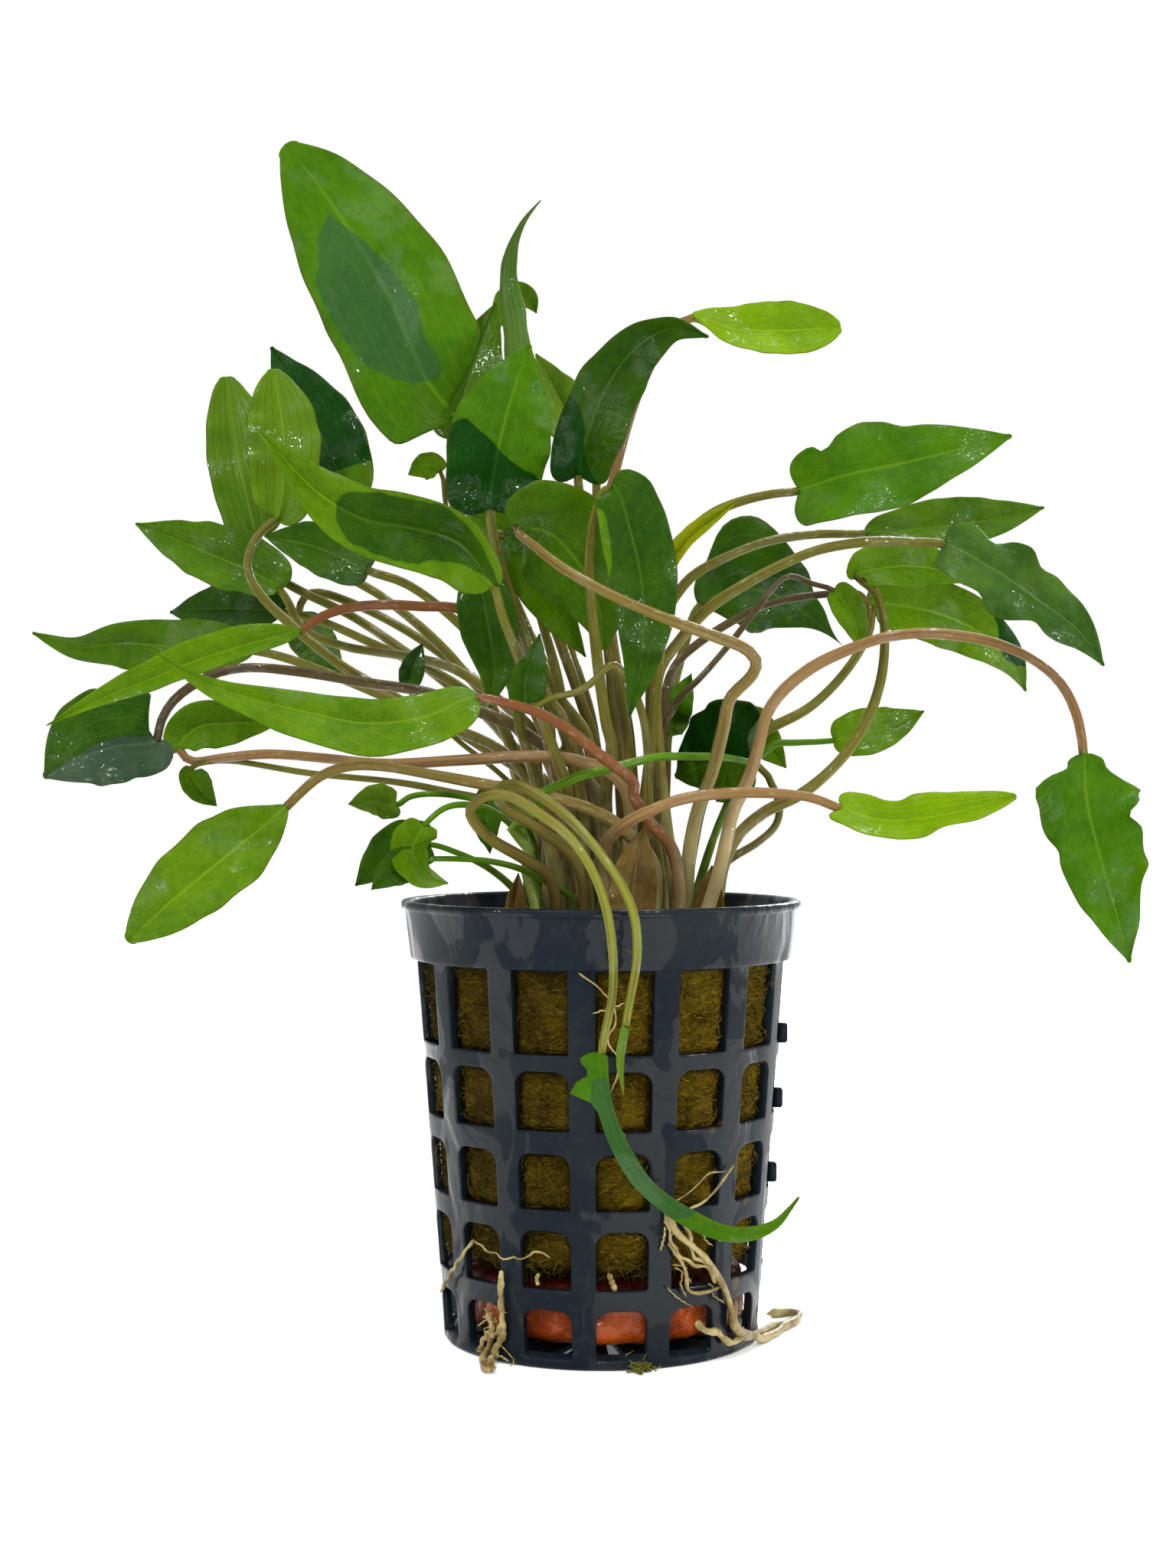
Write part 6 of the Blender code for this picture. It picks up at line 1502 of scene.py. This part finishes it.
def make_crown():
    """The knobbly mass that the stalks grow from, with leaf scars, fine roots and stubs of old stalks."""
    draw = random.Random(5)
    around, rings = 96, 34
    parts, points = [], []
    for j in range(rings):
        share = j / (rings - 1)
        angle = math.pi * (share * 0.98 - 0.49)
        for i in range(around):
            turn = 2 * math.pi * i / around
            radius = (CROWN_RADIUS + 0.1) * max(math.cos(angle), 0.0) ** 0.35
            height = (WOOL_POCKET_FLOOR + CROWN_TOP) / 2
            height += (CROWN_TOP - WOOL_POCKET_FLOOR) / 2 * math.sin(angle)
            knobs = 0.8 - noise.voronoi(Vector(round_axis(radius, turn, height)) * 0.42)[0][0]
            radius = max(radius + 0.6 * knobs - 0.5, 0.02)
            points.append(round_axis(radius, turn, height + (0.9 * knobs if share > 0.6 else 0.0)))
    faces = [tuple(reversed(face)) for face in loft_faces(rings, around)]
    faces += [tuple(range(around)), tuple(reversed(range((rings - 1) * around, rings * around)))]
    parts.append((points, faces))
    for _ in range(OLD_STALKS):
        turn, reach = draw.uniform(0, 2 * math.pi), draw.uniform(3, 14.5)
        foot = np.array(round_axis(reach, turn, CROWN_TOP - 0.8))
        lean = np.array([draw.gauss(0, 0.5) + foot[0] * 0.05, draw.gauss(0, 0.5) + foot[1] * 0.05, 1.0])
        length = draw.uniform(1.2, 3.8)
        parts.append(root_tube([foot, foot + lean * length * 0.5,
                                foot + lean * length + np.array([draw.gauss(0, 0.4), draw.gauss(0, 0.4), 0])],
                               draw.uniform(0.25, 0.6), draw, knots=10, sides=7))
    for _ in range(CROWN_ROOTS):
        turn, reach = draw.uniform(0, 2 * math.pi), draw.uniform(9, 18)
        spots = [np.array(round_axis(reach, turn, WOOL_TOP + 0.4))]
        for _ in range(3):
            step = np.array([draw.gauss(0, 1.7), draw.gauss(0, 1.7), draw.uniform(-0.2, 0.35)])
            spots.append(spots[-1] + step)
        parts.append(root_tube(spots, draw.uniform(0.08, 0.2), draw, knots=12, sides=5))
    points, faces = joined(parts)
    hand_over(mesh_from("crown_mass", points, faces, crown_material()), "crown", "crown")


def root_material():
    s = Shader("root")
    place = s.place()
    mottle = s.noise(place, 380, 4, 0.6)
    fine = s.noise(place, 1700, 3, 0.6)
    colour = s.mix(s.rise(mottle, 0.36, 0.64), s.tints["shade"], s.tints["face"])
    colour = s.mix(s.rise(fine, 0.56, 0.72, 0, 0.6), colour, s.tints["speck"])
    material = s.finish(Base_Color=colour, Roughness=0.4, Specular_IOR_Level=0.3, Coat_Weight=0.3,
                        Normal=s.bump(s.math("ADD", mottle, fine), 0.0003, 0.8))
    s.let_light_through(colour, 0.2)
    return material


# Each root: its places as seen on the pot's wall, then those past the wall's end, its radius, how many knots
# and sides it has, how uneven it is, and how far it stands off the wall.
ROOTS_RIGHT = (
    ([(8.7, 15.8), (9.8, 13.2), (13.5, 9.8), (16.1, 5.7), (17.2, 2.4)],
     [(18.6, -0.6), (20.9, 0.2), (23.6, 1.2), (25.7, 1.6)], 0.42, 90, 10, 0.12, 0.7),
    ([(17.6, 3.9), (17.2, 1.6)], [(18.0, 0.1), (19.5, -0.3), (21.3, -0.8), (23.4, 0.4), (25.9, 2.3),
                                  (24.6, 2.6), (21.5, 2.4)], 0.55, 80, 10, 0.12, 0.7),
    ([(12.4, 1.4), (13.6, 0.2), (15.2, 0.0)], [(16.6, -1.3), (18.2, -0.7), (18.6, 0.8)],
     0.45, 60, 10, 0.12, 0.7),
    ([(8.7, 11.7), (10.9, 8.4), (11.5, 5.4), (13.5, 5.2), (15.6, 5.9)], [], 0.24, 60, 8, 0.12, 0.7),
    ([(5, 19.5), (7.2, 17.8), (10, 15.9), (13.6, 17.2), (17.5, 22)], [], 0.16, 60, 6, 0.5, 0.7),
    ([(8.2, 16.6), (8.9, 13.4), (9.6, 10.9), (12.2, 8.8), (14.6, 8.6)], [], 0.24, 60, 7, 0.4, 0.7),
    ([(10.2, 15.4), (11.6, 12.4), (12, 10), (13.8, 8.8), (15, 6.2)], [], 0.28, 60, 7, 0.4, 0.7),
)
ROOTS_LEFT = (
    ([(-13, 8.1), (-13.1, 5.5), (-13, 2.8), (-12.8, 0.4), (-12.7, -1.3)], [], 0.38, 50, 10, 0.12, 0.7),
    ([(-14.9, 2.6), (-14.2, 0.6), (-14.6, -1.6)], [(-15.4, -3.4), (-14.8, -4.9), (-13.6, -4.6)],
     0.42, 50, 9, 0.12, 0.7),
    ([(-13, 1.2), (-13.8, -0.4), (-14.7, -0.2), (-15.4, -1.2), (-15.9, -2.6)], [], 0.3, 50, 8, 0.5, 0.7),
    ([(-12.6, 0.2), (-13.4, -1.5)], [(-14.2, -3.1), (-14.5, -5.0)], 0.42, 40, 9, 0.3, 0.7),
)
ROOTS_THIN = (
    ([(-16.6, 12.1), (-18.4, 9.6), (-20.0, 7.0), (-21.1, 5.0)], [], 0.24, 40, 7, 0.5, 0.9),
    ([(-16.8, 12.1), (-14.6, 10.6), (-12.5, 9.7), (-9.5, 9.9), (-8.4, 10.6), (-6.6, 9.7)], [],
     0.13, 60, 6, 1.2, 0.7),
    ([(1.9, 5.3), (1.4, 6.6), (0.9, 7.8)], [], 0.36, 20, 7, 0.12, -0.6),
    ([(-8.2, 6.1), (-8.4, 6.9), (-8.1, 7.7)], [], 0.28, 20, 7, 0.12, -0.6),
    ([(-3, 47), (0.5, 44.2), (2, 41.5), (1, 38), (2.4, 35.2), (1.2, 31)], [], 0.12, 70, 6, 1.0, 0.4),
    ([(-1.2, 41.6), (1.5, 42.4), (3.4, 43.1)], [], 0.1, 30, 6, 1.0, 0.3),
    ([(3, 26), (3.6, 22.6), (5, 19.8), (7.8, 17), (11, 17.8), (14, 20.6), (16.5, 21)], [],
     0.1, 90, 6, 1.0, 0.5),
)


def drape(spots, clear, draw):
    """Places on the pot's wall, each a little more or less clear of it."""
    return [on_pot(x, z, clear + draw.uniform(-0.15, 0.25)) for x, z in spots]


def lie(spots, height=0.62, clear=0.75):
    """Places on the pot's wall, or on the floor where the wall ends or lies too low."""
    places = []
    for x, z in spots:
        on_wall = on_pot(x, z, clear)
        beside = math.hypot(on_wall[0], on_wall[1]) > pot_radius(on_wall[2]) + clear + 0.1
        places.append(on_floor(x, z, height) if beside or on_wall[2] < height else on_wall)
    return places


def root_tubes(rows, draw):
    return [root_tube(drape(spots, clear, draw) + lie(beyond), radius, draw, knots, sides, wobble)
            for spots, beyond, radius, knots, sides, wobble, clear in rows]


def root_hairs(count, across, up, aside, down, thick, draw):
    """Short threads on the wall that start anywhere in a field and wander downwards."""
    hairs = []
    for _ in range(count):
        spots = [(draw.uniform(*across), draw.uniform(*up))]
        for _ in range(3):
            spots.append((spots[-1][0] + draw.uniform(*aside), spots[-1][1] - draw.uniform(*down)))
        hairs.append(root_tube(drape(spots, 0.5, draw), draw.uniform(*thick), draw, 24, 5, 0.6))
    return hairs


def moss_strand(draw):
    x, z = draw.gauss(5.2, 0.75), draw.gauss(-4.4, 0.5)
    foot = on_floor(x, z, draw.uniform(0.15, 0.6))
    foot[1] = min(foot[1], -17.5)
    ways = [foot]
    for _ in range(3):
        ways.append(ways[-1] + np.array([draw.gauss(0, 0.5), draw.gauss(0, 0.35), draw.gauss(0.08, 0.3)]))
    ways = [np.array([w[0], w[1], max(w[2], 0.12)]) for w in ways]
    return root_tube(ways, draw.uniform(0.08, 0.2), draw, 10, 5, 0.4)


def make_roots():
    """The roots that come out of the windows, and the tuft of moss at the foot."""
    draw = random.Random(23)
    finish = root_material()
    right = root_tubes(ROOTS_RIGHT, draw)
    right += root_hairs(16, (8, 14.5), (5, 16), (-0.6, 1.8), (-0.3, 1.9), (0.07, 0.14), draw)
    hand_over(mesh_from("roots_right", *joined(right), finish), "root", "root_right")
    left = root_tubes(ROOTS_LEFT, draw)
    left += root_hairs(14, (-15.6, -12.6), (-2.5, 3.5), (-1.1, 1.1), (-0.5, 1.4), (0.07, 0.15), draw)
    hand_over(mesh_from("roots_left", *joined(left), finish), "root", "root_left")
    thin = root_tubes(ROOTS_THIN, draw)
    hand_over(mesh_from("roots_thin", *joined(thin), finish), "root", "root_left_thin")

    tuft = [moss_strand(draw) for _ in range(MOSS_STRANDS)]
    moss = Shader("moss")
    tint = moss.mix(moss.noise(moss.place(), 900), moss.tints["shade"], moss.tints["face"])
    moss_finish = moss.finish(Base_Color=tint, Roughness=0.7, Specular_IOR_Level=0.2)
    hand_over(mesh_from("moss_tuft", *joined(tuft), moss_finish), "root")


SENSOR_WIDTH = 36
LENS = 52.73

# Each light's name, place, the height that it aims at on the pot's axis, its size and its power.
LIGHTS = (
    ("key", (-0.3, -0.42, 0.62), 0.085, 0.08, 3.6),
    ("glint_0", (0.3, -0.5, 0.45), 0.085, 0.035, 0.7),
    ("glint_1", (-0.05, -0.6, 0.75), 0.085, 0.035, 0.7),
    ("glint_2", (-0.55, -0.3, 0.3), 0.085, 0.035, 0.7),
    ("glint_3", (0.1, -0.3, 0.9), 0.085, 0.035, 0.7),
    ("front_glint_0", (0.06, -0.62, 0.3), 0.085, 0.02, 0.5),
    ("front_glint_1", (-0.14, -0.62, 0.2), 0.085, 0.02, 0.5),
    ("overhead", (0.12, 0.1, 0.8), 0.085, 0.35, 6.0),
    ("strip", (0.62, -0.3, 0.22), 0.05, 0.07, 2.2),
    ("behind", (0.2, 0.6, 0.35), 0.085, 0.3, 3.0),
)


def make_camera():
    view = bpy.data.cameras.new("camera")
    view.sensor_width = SENSOR_WIDTH
    view.lens = LENS
    camera = bpy.data.objects.new("camera", view)
    camera.location = EYE * MM
    camera.rotation_euler = (math.radians(90), 0, 0)
    bpy.context.scene.collection.objects.link(camera)
    bpy.context.scene.camera = camera


def soft_light(name, place, aim_height, size, power):
    data = bpy.data.lights.new(name, "AREA")
    data.shape = "DISK"
    data.size = size
    data.energy = power
    light = bpy.data.objects.new(name, data)
    light.location = place
    aim = Vector((0, 0, aim_height))
    light.rotation_euler = (aim - Vector(place)).to_track_quat("-Z", "Y").to_euler()
    bpy.context.scene.collection.objects.link(light)


def make_stage():
    """A pale floor, even light all round, a key light, small lights for glints, a strip at the right and
    light from above and behind."""
    bpy.context.scene.view_settings.view_transform = "Standard"
    world = bpy.data.worlds.new("studio")
    world.use_nodes = True
    world.node_tree.nodes["Background"].inputs["Color"].default_value = (1, 1, 1, 1)
    world.node_tree.nodes["Background"].inputs["Strength"].default_value = 1.0
    bpy.context.scene.world = world
    for light in LIGHTS:
        soft_light(*light)
    pale = Shader("pale_floor")
    tint = pale.mix(pale.noise(pale.place(), 6), (0.9, 0.9, 0.9, 1), (0.93, 0.93, 0.93, 1))
    material = pale.finish(Base_Color=tint, Roughness=0.9, Specular_IOR_Level=0.1, Emission_Strength=0.14,
                           Emission_Color=(1, 1, 1, 1))
    bpy.ops.mesh.primitive_circle_add(vertices=96, radius=6, fill_type="NGON", location=(0, 0, 0))
    floor = bpy.context.object
    floor.name = "floor"
    floor.data.materials.append(material)


make_camera()
make_stage()
make_leaves()
make_pot()
make_wool()
make_clay()
make_crown()
make_roots()
